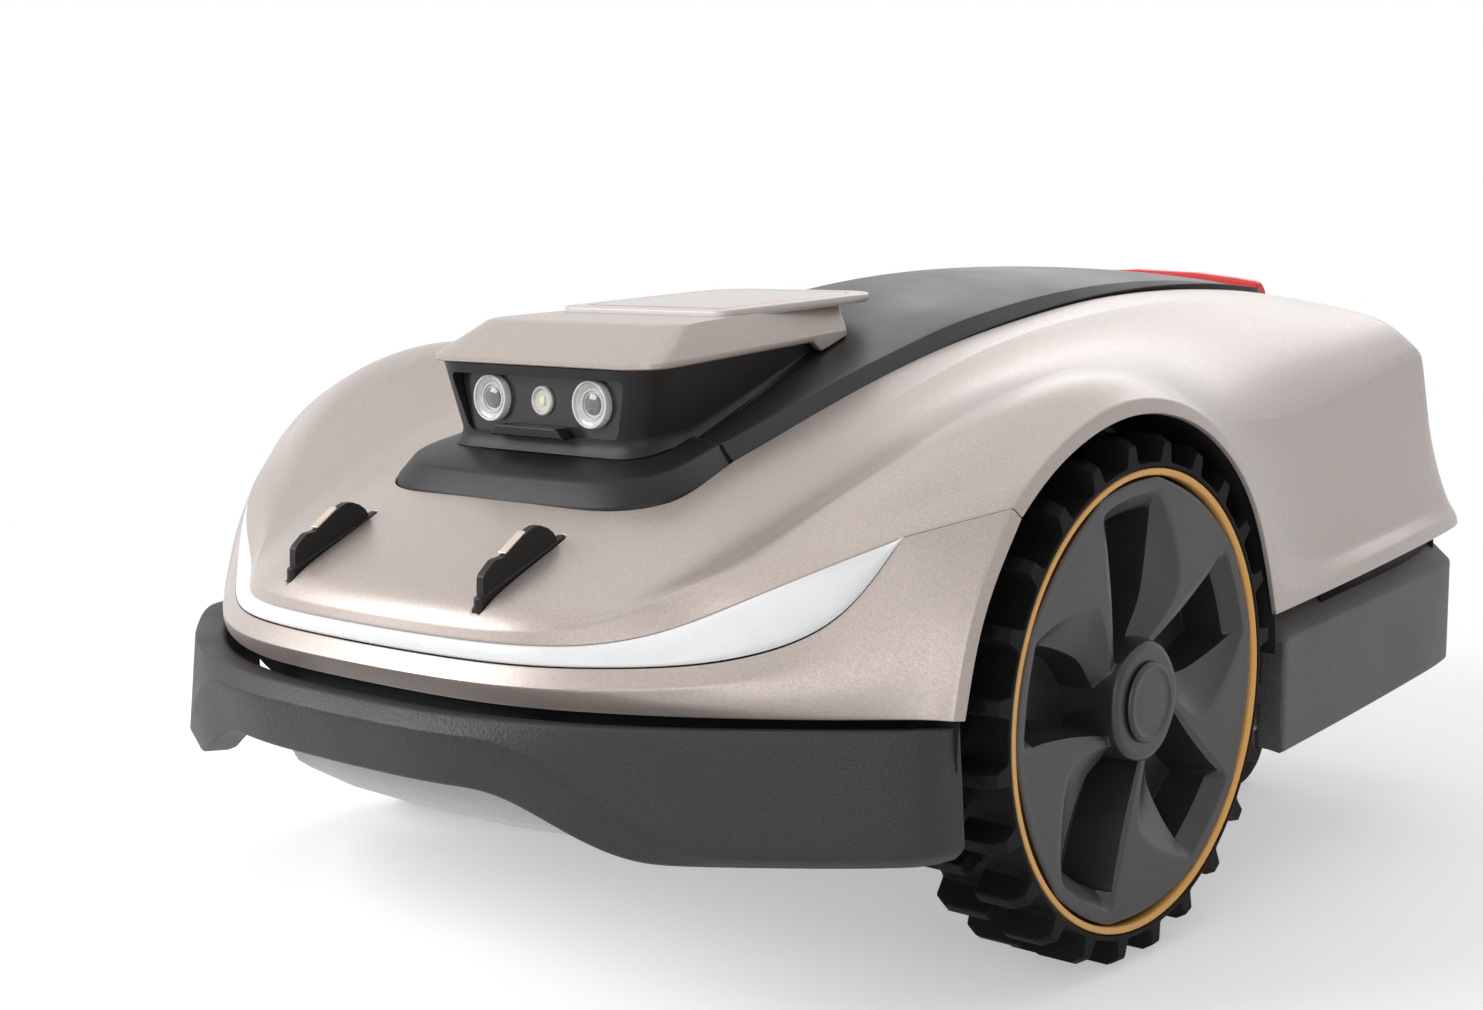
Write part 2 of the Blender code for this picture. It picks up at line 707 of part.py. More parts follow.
FRAME_THICK = 0.0034
control_frame = lying("control_frame", [panel_outline(0.0)], CLEAR, FRAME_THICK, "champagne")
lying("accent_gasket", [panel_outline(0.0105), panel_outline(0.012)], FRAME_THICK + CLEAR,
      FRAME_THICK + 0.0010, "copper")
lying("touch_panel", [panel_outline(0.0125)], FRAME_THICK + CLEAR, FRAME_THICK + 0.0012, "champagne")

# Charging fins through slots in the hood, each with a contact strip on its ramp.
FIN_SLOPE = 0.434


def hood_panel(y):
    """Height of the hood's front panel beside the fins."""
    return 0.189 + FIN_SLOPE * (y - lengthways(-334.5))


FIN_SHAPE = [(0.0, -0.014), (0.0, 0.0108), (0.22, 0.0134), (0.33, 0.0117), (0.62, 0.0155),
             (0.79, 0.0139), (0.95, 0.0065), (1.0, 0.001), (1.0, -0.014)]
fin_side = []
for along, rise in FIN_SHAPE:
    y = FIN_FRONT_Y + along * FIN_LENGTH
    fin_side.append((y, hood_panel(y) + rise))
slot_outline = rounded([
    (-FIN_THICK / 2 - CLEAR, FIN_FRONT_Y - 0.003, 0.003),
    (FIN_THICK / 2 + CLEAR, FIN_FRONT_Y - 0.003, 0.003),
    (FIN_THICK / 2 + CLEAR, FIN_FRONT_Y + FIN_LENGTH + 0.006, 0.003),
    (-FIN_THICK / 2 - CLEAR, FIN_FRONT_Y + FIN_LENGTH + 0.006, 0.003),
])
for side, sign in (("left", 1), ("right", -1)):
    middle = sign * FIN_X
    loft("contact_fin_" + side, [
        [(middle - FIN_THICK / 2, y, z) for y, z in fin_side],
        [(middle + FIN_THICK / 2, y, z) for y, z in fin_side],
    ], "black")
    slot = outline("fin_slot_" + side, [[(middle + x, y) for x, y in slot_outline]], 0.15, 0.26,
                   collection=cutters)
    cut(hood, slot)
    (y0, z0), (y1, z1) = fin_side[3:5]
    run = Vector((y1 - y0, z1 - z0))
    lift = Vector((-run.y, run.x)).normalized()
    start = Vector((y0, z0)) + run * 0.06 + lift * CLEAR
    end = Vector((y0, z0)) + run * 0.94 + lift * CLEAR
    strip = [start, end, end + lift * 0.0012, start + lift * 0.0012]
    loft("contact_strip_" + side, [
        [(middle - FIN_THICK * 0.42, *point) for point in strip],
        [(middle + FIN_THICK * 0.42, *point) for point in strip],
    ], "gold")

# Front bumper: a section swept round the nose that deepens into two side lobes.
BUMPER_PLAN = [(0, -360), (62, -357), (120, -342), (168, -317), (217, -280), (246, -254),
               (256, -240), (259, -224)]
bumper_half = smooth([body(x, y, 0) for x, y in BUMPER_PLAN], 3)
bumper_line = [Vector((-point.x, point.y, 0)) for point in reversed(bumper_half[1:])] + bumper_half


def ease(value, start, end):
    share = min(1.0, max(0.0, (value - start) / (end - start)))
    return share * share * (3 - 2 * share)


def outwards(line):
    """The level direction out of each place of a line that runs anticlockwise."""
    found = []
    for i in range(len(line)):
        along = line[min(i + 1, len(line) - 1)] - line[max(i - 1, 0)]
        found.append(Vector((along.y, -along.x, 0)).normalized())
    return found


def sweep(name, line, section, finish):
    """A section of (outward, height) points, given for each place of the line, swept along it."""
    loops = []
    for point, outward in zip(line, outwards(line)):
        loops.append([
            (point.x + outward.x * out, point.y + outward.y * out, height)
            for out, height in section(point)
        ])
    return loft(name, loops, finish)


def bumper_section(point):
    lobe = ease(abs(point.x), 0.085, 0.168)
    fold = ease(abs(point.x), 0.095, 0.190)
    bottom = BUMPER_BAND_Z + (BUMPER_LOBE_Z - BUMPER_BAND_Z) * lobe
    crease = BUMPER_CREASE_Z + (BUMPER_LOBE_Z + 0.006 - BUMPER_CREASE_Z) * fold
    return [
        (-BUMPER_WALL, BUMPER_LEDGE_Z - 0.002),
        (0.0, BUMPER_LEDGE_Z),
        (0.0055 - 0.0015 * fold, crease),
        (-0.0015 + 0.001 * fold, bottom),
        (-BUMPER_WALL, bottom),
    ]


bumper = sweep("front_bumper", bumper_line, bumper_section, "grey")

# Rear skirt round the tail.
SKIRT_PLAN = [(251, 92), (247, 180), (242, 265), (237, 330), (230, 353), (208, 363), (120, 365),
              (0, 365)]
skirt_half = smooth([body(x, y, 0) for x, y in SKIRT_PLAN], 2)
skirt_line = [Vector((-point.x, point.y, 0)) for point in skirt_half[:-1]]
skirt_line = skirt_half + skirt_line[::-1]


SKIRT_WALL = 0.016


def skirt_section(point):
    rise = (point.y - lengthways(92)) * 0.055
    top = 0.147 + rise
    bottom = top - SKIRT_DEPTH
    return [
        (-SKIRT_WALL, top),
        (-SKIRT_CHAMFER, top),
        (0.0, top - SKIRT_CHAMFER),
        (0.0, bottom),
        (-SKIRT_WALL, bottom),
    ]


skirt = sweep("rear_skirt", skirt_line, skirt_section, "grey")

# Chassis tub with a rounded belly, open above.
tub_tail = []
for point, outward in zip(skirt_half, outwards(skirt_line)):
    inside = point - outward * (SKIRT_WALL + SEAM)
    tub_tail.append((inside.x, inside.y, 0.0))
tub_corners = [
    (0.0, TUB_NOSE_Y, 0.0), (0.060, TUB_NOSE_Y + 0.003, 0.0), (0.110, TUB_NOSE_Y + 0.014, 0.0),
    (TUB_HALF, TUB_NOSE_Y + 0.045, 0.020), (TUB_HALF, lengthways(82), 0.006),
    (*tub_tail[0][:2], 0.020), *tub_tail[1:],
]
tub_ring = mirrored([point for point in rounded(tub_corners, 3) if point[0] >= -1e-6])
chassis = loft("chassis", [
    at_height(offset(tub_ring, 0.010), TUB_BOTTOM),
    at_height(offset(tub_ring, 0.003), TUB_BOTTOM + 0.005),
    at_height(tub_ring, TUB_BOTTOM + 0.014),
    at_height(tub_ring, TUB_TOP),
], "pale")
tub_pocket = outline("tub_pocket", [offset(tub_ring, TUB_WALL)], TUB_FLOOR + 0.006, 0.2,
                     collection=cutters)
cut(chassis, tub_pocket)
FLOOR = TUB_FLOOR + 0.006
cut(chassis, rod("cut_hole", 0.078, 0.0, 0.2, "Z", (0.0, CUT_Y), collection=cutters, sides=40))
for side, sign in (("left", 1), ("right", -1)):
    x0 = min(sign * (TUB_HALF - 0.023), sign * (TUB_HALF + 0.037))
    notch = block("motor_notch_" + side, (x0, AXLE_Y - 0.046, FLOOR + 0.001),
                  (x0 + 0.06, AXLE_Y + 0.046, 0.2), collection=cutters)
    boss = rod("stem_boss_" + side, STEM_RADIUS + 0.008, TUB_BOTTOM + 0.003, 0.130, "Z",
               (sign * CASTER_X, CASTER_Y), collection=cutters)
    stem_hole = rod("stem_hole_" + side, STEM_RADIUS + CLEAR, 0.0, 0.2, "Z",
                    (sign * CASTER_X, CASTER_Y), collection=cutters)
    x1 = min(sign * (TUB_HALF - 0.021), sign * (TUB_HALF - 0.013))
    bracket = block("motor_bracket_" + side, (x1, AXLE_Y - 0.042, FLOOR - 0.003),
                    (x1 + 0.008, AXLE_Y + 0.042, TYRE_RADIUS + 0.040), collection=cutters)
    seat = rod("motor_seat_" + side, MOTOR_RADIUS + CLEAR, min(x1, x1 + 0.1) - 0.05, x1 + 0.06, "X",
               (AXLE_Y, TYRE_RADIUS), collection=cutters, sides=40)
    pin_hole = rod("pin_hole_" + side, BUMPER_PIN_RADIUS + CLEAR, lengthways(-360), lengthways(-250), "Y",
                   (sign * BUMPER_PIN_X, 0.125), collection=cutters, sides=16)
    cut(chassis, notch)
    cut(chassis, boss, bracket, operation="UNION")
    cut(chassis, stem_hole, seat, pin_hole)

# Bumper guide pins, fixed to the bumper and sliding through the tub's front wall.
bumper_inner = []
for point, outward in zip(bumper_line, outwards(bumper_line)):
    bumper_inner.append(point - outward * BUMPER_WALL)
pin_reach = BUMPER_PIN_X + BUMPER_PIN_RADIUS
for first, second in zip(bumper_inner, bumper_inner[1:]):
    if first.x <= pin_reach <= second.x:
        share = (pin_reach - first.x) / (second.x - first.x)
        pin_start = first.lerp(second, share).y + CLEAR
for side, sign in (("left", 1), ("right", -1)):
    rod("bumper_pin_" + side, BUMPER_PIN_RADIUS, pin_start, lengthways(-272), "Y",
        (sign * BUMPER_PIN_X, 0.125), "steel", sides=16)

# Drive wheels. The left one is built and the right one is the same part turned half round.
half_turn = Matrix.Translation((0, 2 * AXLE_Y, 0)) @ Matrix.Rotation(math.pi, 4, "Z")
axle_at = (WHEEL_FACE_X, AXLE_Y, TYRE_RADIUS)


def lug_ring(phase):
    """Outline of one row of lugs."""
    pitch = 2 * math.pi / LUG_COUNT
    root = TYRE_RADIUS - LUG_HEIGHT
    loop = []
    for i in range(LUG_COUNT):
        middle = phase + i * pitch
        for share, radius in ((-0.24, root), (-0.13, TYRE_RADIUS), (0.13, TYRE_RADIUS), (0.24, root)):
            angle = middle + share * pitch
            loop.append((radius * math.cos(angle), radius * math.sin(angle)))
    return loop


def circle(radius, count=36):
    """A hole's outline, no side of it nearer the middle than the radius."""
    reach = radius / math.cos(math.pi / count)
    turns = [2 * math.pi * i / count for i in range(count)]
    return [(reach * math.cos(turn), reach * math.sin(turn)) for turn in turns]


pitch = 2 * math.pi / LUG_COUNT
ROW_SPLIT = -TYRE_WIDTH * 0.47
tyre = outline("tyre_left", [lug_ring(pitch / 2), circle(RIM_RADIUS + RING_WIDTH + 2 * CLEAR)],
               ROW_SPLIT, 0.0, "rubber")
inner_row = outline("tyre_inner_row", [lug_ring(0.0), circle(RIM_RADIUS + CLEAR)], -TYRE_WIDTH,
                    ROW_SPLIT + 0.002, collection=cutters)
for obj in (tyre, inner_row):
    obj.matrix_world = Matrix.Translation(axle_at) @ TURNS["X"]
cut(tyre, inner_row, operation="UNION")

rim = turned("wheel_cover_left", [
    (RIM_RADIUS, -0.0015), (RIM_RADIUS, -TYRE_WIDTH + 0.008),
    (RIM_RADIUS - 0.003, -TYRE_WIDTH + 0.008), (RIM_RADIUS - 0.003, -COVER_DEPTH),
    (HUB_RADIUS, -COVER_DEPTH), (HUB_RADIUS, -0.060), (AXLE_RADIUS + CLEAR, -0.060),
    (AXLE_RADIUS + CLEAR, 0.0015), (HUB_RADIUS - 0.002, 0.0015), (HUB_RADIUS + 0.003, -0.004),
    (RIM_RADIUS - 0.010, -0.0015),
], "X", axle_at, "grey", steps=40)
for i in range(POCKETS):
    pocket = outline("cover_pocket_%d" % i, [rounded([
        (HUB_RADIUS + 0.009, -0.006, 0.002), (RIM_RADIUS - 0.0135, -0.015, 0.005),
        (RIM_RADIUS - 0.0115, 0.011, 0.005), (HUB_RADIUS + 0.009, 0.006, 0.002),
    ], 2)], -COVER_DEPTH + 0.006, 0.02, collection=cutters)
    spin = Matrix.Rotation(math.pi + i * 2 * math.pi / POCKETS, 4, "Z")
    pocket.matrix_world = Matrix.Translation(axle_at) @ TURNS["X"] @ spin
    cut(rim, pocket)
ring_low = RIM_RADIUS + CLEAR
ring = turned("accent_ring_left", [
    (ring_low + RING_WIDTH, 0.0005), (ring_low + RING_WIDTH, -0.008), (ring_low, -0.008),
    (ring_low, 0.0005),
], "X", axle_at, "orange", steps=48)
hub_cap = turned("hub_cap_left", [
    (0.0, 0.0045), (HUB_CAP_RADIUS - 0.002, 0.0045), (HUB_CAP_RADIUS, 0.003),
    (HUB_CAP_RADIUS, 0.0015 + CLEAR), (0.0, 0.0015 + CLEAR),
], "X", axle_at, "grey", closed=False)
axle = rod("axle_left", AXLE_RADIUS, MOTOR_OUTER_X + CLEAR, WHEEL_FACE_X - 0.001, "X",
           (AXLE_Y, TYRE_RADIUS), "steel")
motor = rod("drive_motor_left", MOTOR_RADIUS, MOTOR_INNER_X, MOTOR_OUTER_X, "X",
            (AXLE_Y, TYRE_RADIUS), "steel")
for obj in (tyre, rim, ring, hub_cap, axle, motor):
    twin(obj, obj.name.replace("left", "right"), half_turn)

# Rear casters: fork on a stem in a bush, wheel trailing behind it.
WHEEL_Y = CASTER_Y + CASTER_TRAIL
FORK_TOP = 2 * CASTER_RADIUS + 0.0085
for side, sign in (("left", 1), ("right", -1)):
    x = sign * CASTER_X
    gap = CASTER_WIDTH / 2 + 0.0015
    fork = block("caster_fork_" + side, (x - gap - 0.004, CASTER_Y - 0.014, FORK_TOP - 0.006),
                 (x + gap + 0.004, WHEEL_Y + 0.004, FORK_TOP), "grey")
    stem = rod("stem_" + side, STEM_RADIUS, FORK_TOP - 0.003, 0.142, "Z", (x, CASTER_Y),
               collection=cutters)
    cut(fork, stem, operation="UNION")
    for number, leg_x in enumerate((x - gap - 0.004, x + gap)):
        leg = loft("leg_%s_%d" % (side, number), [
            [(leg_x + step, y, z) for y, z in (
                (CASTER_Y - 0.010, FORK_TOP - 0.002), (WHEEL_Y - 0.010, CASTER_RADIUS - 0.009),
                (WHEEL_Y + 0.008, CASTER_RADIUS - 0.009), (WHEEL_Y + 0.002, FORK_TOP - 0.002),
            )] for step in (0.0, 0.004)
        ], collection=cutters)
        cut(fork, leg, operation="UNION")
    pin = rod("caster_pin_" + side, 0.004, x - gap - 0.002, x + gap + 0.002, "X",
              (WHEEL_Y, CASTER_RADIUS), collection=cutters, sides=16)
    cut(fork, pin, operation="UNION")
    turned("caster_wheel_" + side, [
        (CASTER_RADIUS - 0.003, CASTER_WIDTH / 2), (CASTER_RADIUS, CASTER_WIDTH / 2 - 0.004),
        (CASTER_RADIUS, 0.004 - CASTER_WIDTH / 2), (CASTER_RADIUS - 0.003, -CASTER_WIDTH / 2),
        (0.004 + CLEAR, -CASTER_WIDTH / 2), (0.004 + CLEAR, CASTER_WIDTH / 2),
    ], "X", (x, WHEEL_Y, CASTER_RADIUS), "rubber", steps=32)

# Cutting unit: bridge over the tub, carriage that slides in it, motor, disc and blades.
BRIDGE_LOW = TUB_TOP + CLEAR
bridge = block("lift_bridge", (-TUB_HALF, CUT_Y - 0.042, BRIDGE_LOW),
               (TUB_HALF, CUT_Y + 0.042, BRIDGE_LOW + 0.006), "grey")
CARRIAGE_LOW = 0.096
CARRIAGE_HIGH = CARRIAGE_LOW + 0.010
carriage = rod("lift_carriage", 0.050, CARRIAGE_LOW, CARRIAGE_HIGH, "Z", (0.0, CUT_Y), "grey",
               sides=40)
arm = block("carriage_arm", (0.0, CUT_Y - 0.012, CARRIAGE_LOW + 0.0005),
            (LIFT_SCREW_X + 0.012, CUT_Y + 0.012, CARRIAGE_HIGH - 0.0005), collection=cutters)
cut(carriage, arm, operation="UNION")
motor_way = rod("motor_way", BLADE_MOTOR_RADIUS + CLEAR, 0.0, 0.3, "Z", (0.0, CUT_Y),
                collection=cutters, sides=40)
screw_way = rod("screw_way", LIFT_SCREW_RADIUS + CLEAR, 0.0, 0.3, "Z", (LIFT_SCREW_X, CUT_Y),
                collection=cutters, sides=20)
cut(carriage, motor_way, screw_way)
cut(bridge, motor_way, screw_way)
rod("blade_motor", BLADE_MOTOR_RADIUS, 0.085, 0.182, "Z", (0.0, CUT_Y), "steel", sides=40)
rod("lift_screw", LIFT_SCREW_RADIUS, 0.074, BRIDGE_LOW + 0.006, "Z", (LIFT_SCREW_X, CUT_Y), "steel",
    sides=20)
rod("lift_motor", 0.016, BRIDGE_LOW + 0.006 + CLEAR, BRIDGE_LOW + 0.040, "Z",
    (LIFT_SCREW_X, CUT_Y), "steel")
disc = turned("blade_disc", [
    (0.0, 0.0845 - DISC_Z), (0.012, 0.0845 - DISC_Z), (0.020, 0.006), (DISC_RADIUS - 0.004, 0.006),
    (DISC_RADIUS, 0.003), (DISC_RADIUS, 0.0), (0.0, 0.0),
], "Z", (0.0, CUT_Y, DISC_Z), "grey", closed=False)
for i in range(3):
    angle = math.pi / 2 + i * 2 * math.pi / 3
    reach = Matrix.Translation((0.0, CUT_Y, 0.0)) @ Matrix.Rotation(angle, 4, "Z")
    pivot = reach @ Vector((BLADE_PIVOT, 0, 0))
    blade = outline("blade_%d" % (i + 1), [
        rounded([(-0.009, -BLADE_WIDTH / 2, 0.004), (BLADE_LENGTH - 0.009, -BLADE_WIDTH / 2, 0.002),
                 (BLADE_LENGTH - 0.009, BLADE_WIDTH / 2, 0.002), (-0.009, BLADE_WIDTH / 2, 0.004)]),
        circle(0.003 + CLEAR, 16),
    ], DISC_Z - 0.0018, DISC_Z - 0.0006, "steel")
    blade.matrix_world = Matrix.Translation((pivot.x, pivot.y, 0)) @ Matrix.Rotation(angle, 4, "Z")
    screw_hole = rod("blade_screw_hole_%d" % i, 0.003 + CLEAR, 0.0, 0.1, "Z", (pivot.x, pivot.y),
                     collection=cutters, sides=16)
    cut(disc, screw_hole)
    turned("blade_screw_%d" % (i + 1), [
        (0.0, DISC_Z + 0.008), (0.003, DISC_Z + 0.008), (0.003, DISC_Z - 0.0024),
        (0.006, DISC_Z - 0.0024), (0.005, DISC_Z - 0.0045), (0.0, DISC_Z - 0.0045),
    ], "Z", (pivot.x, pivot.y, 0.0), "steel", steps=16, closed=False)

# Battery, board and cover mounts in the tub.
BATTERY_HALF = 0.070
BATTERY_HEIGHT = 0.062
BOARD_HALF = 0.085
BOARD_HEIGHT = 0.016
MOUNT_RADIUS = 0.007
block("battery_pack", (-BATTERY_HALF, lengthways(165), FLOOR + CLEAR),
      (BATTERY_HALF, lengthways(300), FLOOR + BATTERY_HEIGHT), "blue")
block("main_board", (-BOARD_HALF, lengthways(-245), FLOOR + CLEAR),
      (BOARD_HALF, lengthways(-130), FLOOR + BOARD_HEIGHT), "green")
bpy.context.view_layer.update()
graph = bpy.context.evaluated_depsgraph_get()
hood_now = hood.evaluated_get(graph)
for end, x, y in (("front", TUB_HALF - 0.023, lengthways(-232)), ("rear", 0.135, lengthways(312))):
    reached, spot, _, _ = hood_now.ray_cast(Vector((x, y, 0.16)), Vector((0, 0, 1)))
    low = []
    for dx, dy in ((0.008, 0), (-0.008, 0), (0, 0.008), (0, -0.008)):
        _, near, _, _ = hood_now.ray_cast(Vector((x + dx, y + dy, 0.16)), Vector((0, 0, 1)))
        low.append(near.z)
    for side, sign in (("left", 1), ("right", -1)):
        rod("cover_mount_%s_%s" % (end, side), MOUNT_RADIUS, FLOOR + CLEAR, min(low) - CLEAR, "Z",
            (sign * x, y), "rubber", sides=16)
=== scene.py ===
"""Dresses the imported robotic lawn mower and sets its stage. Metres, nose towards -Y, wheels on z = 0."""

import math

import bmesh
import bpy
from mathutils import Matrix, Vector


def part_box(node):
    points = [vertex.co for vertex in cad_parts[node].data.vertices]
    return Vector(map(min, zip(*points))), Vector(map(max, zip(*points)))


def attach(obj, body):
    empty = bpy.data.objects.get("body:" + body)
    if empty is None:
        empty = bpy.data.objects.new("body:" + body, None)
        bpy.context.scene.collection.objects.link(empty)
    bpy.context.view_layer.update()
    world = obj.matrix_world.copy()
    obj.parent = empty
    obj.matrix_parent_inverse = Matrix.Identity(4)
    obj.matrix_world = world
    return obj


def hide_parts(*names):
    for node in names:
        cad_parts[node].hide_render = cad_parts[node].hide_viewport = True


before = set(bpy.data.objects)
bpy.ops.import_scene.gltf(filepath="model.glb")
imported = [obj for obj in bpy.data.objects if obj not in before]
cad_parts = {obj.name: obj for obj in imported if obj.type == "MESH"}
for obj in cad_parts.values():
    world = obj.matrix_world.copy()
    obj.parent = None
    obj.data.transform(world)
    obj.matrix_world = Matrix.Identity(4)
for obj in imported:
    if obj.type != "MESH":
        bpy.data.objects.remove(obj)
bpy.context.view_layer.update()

bl_info = {
    "name": "Robotic lawn mower",
    "version": (1, 0, 0),
    "blender": (4, 5, 0),
    "location": "View3D > Sidebar > Mower",
    "description": "Builds the painted shells, turret, bumpers and wheels round the packed mower",
    "category": "Object",
}

MM = 0.001
TYRE_LOW, TYRE_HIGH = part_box("tyre_left")
WHEEL_AT = Vector((TYRE_HIGH.x, (TYRE_LOW.y + TYRE_HIGH.y) / 2, (TYRE_LOW.z + TYRE_HIGH.z) / 2))
TYRE_RADIUS = (TYRE_HIGH.z - TYRE_LOW.z) / 2
HALF_TURN = Matrix.Translation((0, 2 * WHEEL_AT.y, 0)) @ Matrix.Rotation(math.pi, 4, "Z")
Z_TO_X = Matrix.Rotation(math.pi / 2, 4, "Y")
Z_TO_FRONT = Matrix.Rotation(math.pi / 2, 4, "X")


def length(name, description, default):
    return bpy.props.FloatProperty(
        name=name, description=description, default=default, unit="LENGTH", precision=4
    )


def colour(name, description, default):
    return bpy.props.FloatVectorProperty(
        name=name, description=description, default=default, subtype="COLOR", size=3, min=0, max=1
    )


def count(name, description, default):
    return bpy.props.IntProperty(name=name, description=description, default=default)


def strength(name, description, default, unit="NONE"):
    return bpy.props.FloatProperty(name=name, description=description, default=default, unit=unit)


class MowerShellSizes(bpy.types.PropertyGroup):
    """Sizes of the painted shells, the spine and the turret."""

    wall: length("Shell wall", "How deep the shells' edges turn in", 0.0025)
    edge: length("Edge radius", "Rounding of the shells' edges", 0.0005)
    seam: length("Seam", "Gap on each side of a seam", 0.0005)
    arch_band: length("Arch band", "Width of the flat band round the wheel arch", 0.0065)
    spine_strip: length("Spine strip", "Height of the steep strip along the spine", 0.009)
    plate_edge: length("Plate edge", "Rounding of the control plate", 0.0012)


class MowerWheelSizes(bpy.types.PropertyGroup):
    """Sizes of the drive wheels."""

    lugs: count("Lugs", "Lugs in each of the two rows", 24)
    lug_height: length("Lug height", "How far a lug stands off the tread", 0.0135)
    lug_chamfer: length("Lug chamfer", "Drop of a lug's outer corner", 0.004)
    pockets: count("Pockets", "Pockets of the wheel cover", 5)
    pocket_depth: length("Pocket depth", "Depth of the wheel cover's pockets", 0.031)
    ring: length("Ring width", "Width of the coloured ring", 0.0036)


class MowerColours(bpy.types.PropertyGroup):
    """Base colours of the finishes."""

    champagne: colour("Champagne paint", "Metallic paint of the shells", (0.446, 0.378, 0.341))
    plate: colour("Plate", "Pale plastic of the control panel", (0.66, 0.625, 0.60))
    black: colour("Black plastic", "Turret, spine and fins", (0.0105, 0.0103, 0.0102))
    bumper: colour("Bumper plastic", "Coarse plastic of bumper and skirt", (0.016, 0.0148, 0.0141))
    wheel: colour("Wheel plastic", "Satin plastic of the wheel covers", (0.026, 0.0242, 0.0230))
    rubber: colour("Rubber", "Tyres and caster wheels", (0.0085, 0.0082, 0.0080))
    ring: colour("Ring", "Coloured ring of the wheels", (1.0, 0.50, 0.13))
    stop: colour("Stop key", "Stop key", (0.80, 0.012, 0.010))
    milk: colour("Light bar", "Milky diffuser of the light bar", (0.86, 0.87, 0.88))
    copper: colour("Copper line", "Line round the control panel", (0.62, 0.26, 0.13))
    contact: colour("Contact", "Charging contact strips", (0.80, 0.71, 0.58))
    belly: colour("Belly", "Pale plastic of the chassis", (0.60, 0.595, 0.59))


class MowerStage(bpy.types.PropertyGroup):
    """Light and floor."""

    floor: length("Floor radius", "Radius at which the floor has faded out", 1.7)
    sky: strength("Sky", "Even light from all round", 0.29)
    top: strength("Top light", "Soft light overhead", 5.5, "POWER")
    key: strength("Key light", "Soft light from the far side of the nose", 31.0, "POWER")
    fill: strength("Fill light", "Soft light from the near side", 7.0, "POWER")
    back: strength("Back light", "Soft light from above the tail", 6.0, "POWER")
    glow: strength("Floor glow", "What the lit floor lacks of white, for the camera", 0.40)


# Materials

# The span that holds most values of a noise texture.
NOISE_LOW = 0.3
NOISE_HIGH = 0.7


def material(name, base, roughness, metallic=0.0, **sockets):
    """A material with its plain numbers on the shader's own sockets."""
    made = bpy.data.materials.new(name)
    made.use_nodes = True
    shader = made.node_tree.nodes["Principled BSDF"]
    shader.inputs["Base Color"].default_value = (*base, 1)
    shader.inputs["Roughness"].default_value = roughness
    shader.inputs["Metallic"].default_value = metallic
    for socket, value in sockets.items():
        shader.inputs[socket.replace("_", " ")].default_value = value
    made.diffuse_color = (*base, 1)
    return made


def texture(made, kind, **sockets):
    """A texture on the piece's own coordinates."""
    tree = made.node_tree
    place = tree.nodes.get("Texture Coordinate") or tree.nodes.new("ShaderNodeTexCoord")
    node = tree.nodes.new(kind)
    tree.links.new(place.outputs["Object"], node.inputs["Vector"])
    for socket, value in sockets.items():
        node.inputs[socket].default_value = value
    return node


def shade(made, output, dark, light, start=NOISE_LOW, end=NOISE_HIGH):
    """Runs the base colour between two shades by a texture."""
    tree = made.node_tree
    ramp = tree.nodes.new("ShaderNodeValToRGB")
    for stop, at, tone in zip(ramp.color_ramp.elements, (start, end), (dark, light)):
        stop.position = at
        stop.color = (*tone, 1)
    tree.links.new(output, ramp.inputs["Fac"])
    tree.links.new(ramp.outputs["Color"], tree.nodes["Principled BSDF"].inputs["Base Color"])


def vary(made, output, socket, low, high):
    """Runs a number of the shader between two values by a texture."""
    tree = made.node_tree
    span = tree.nodes.new("ShaderNodeMapRange")
    span.inputs["From Min"].default_value = NOISE_LOW
    span.inputs["From Max"].default_value = NOISE_HIGH
    span.inputs["To Min"].default_value = low
    span.inputs["To Max"].default_value = high
    tree.links.new(output, span.inputs["Value"])
    tree.links.new(span.outputs["Result"], tree.nodes["Principled BSDF"].inputs[socket])


def relief(made, *layers):
    """Bump from layers of (texture output, strength, depth)."""
    tree = made.node_tree
    normal = None
    for output, strength, depth in layers:
        bump = tree.nodes.new("ShaderNodeBump")
        bump.inputs["Strength"].default_value = strength
        bump.inputs["Distance"].default_value = depth
        tree.links.new(output, bump.inputs["Height"])
        if normal:
            tree.links.new(normal, bump.inputs["Normal"])
        normal = bump.outputs["Normal"]
    tree.links.new(normal, tree.nodes["Principled BSDF"].inputs["Normal"])


def tone(base, factor):
    return tuple(min(1.0, part * factor) for part in base)


def flake_paint(name, base, roughness):
    """Metallic paint: small flakes of uneven brightness under a satin clear coat."""
    made = material(
        name, base, roughness, 0.35, Coat_Weight=0.6, Coat_Roughness=0.36, Coat_IOR=1.75)
    flakes = texture(made, "ShaderNodeTexVoronoi", Scale=1500.0)
    cloud = texture(made, "ShaderNodeTexNoise", Scale=900.0, Detail=2.0)
    shade(made, cloud.outputs["Fac"], tone(base, 0.90), tone(base, 1.10))
    vary(made, flakes.outputs["Color"], "Roughness", roughness - 0.09, roughness + 0.07)
    relief(made, (cloud.outputs["Fac"], 0.08, 0.0002))
    return made


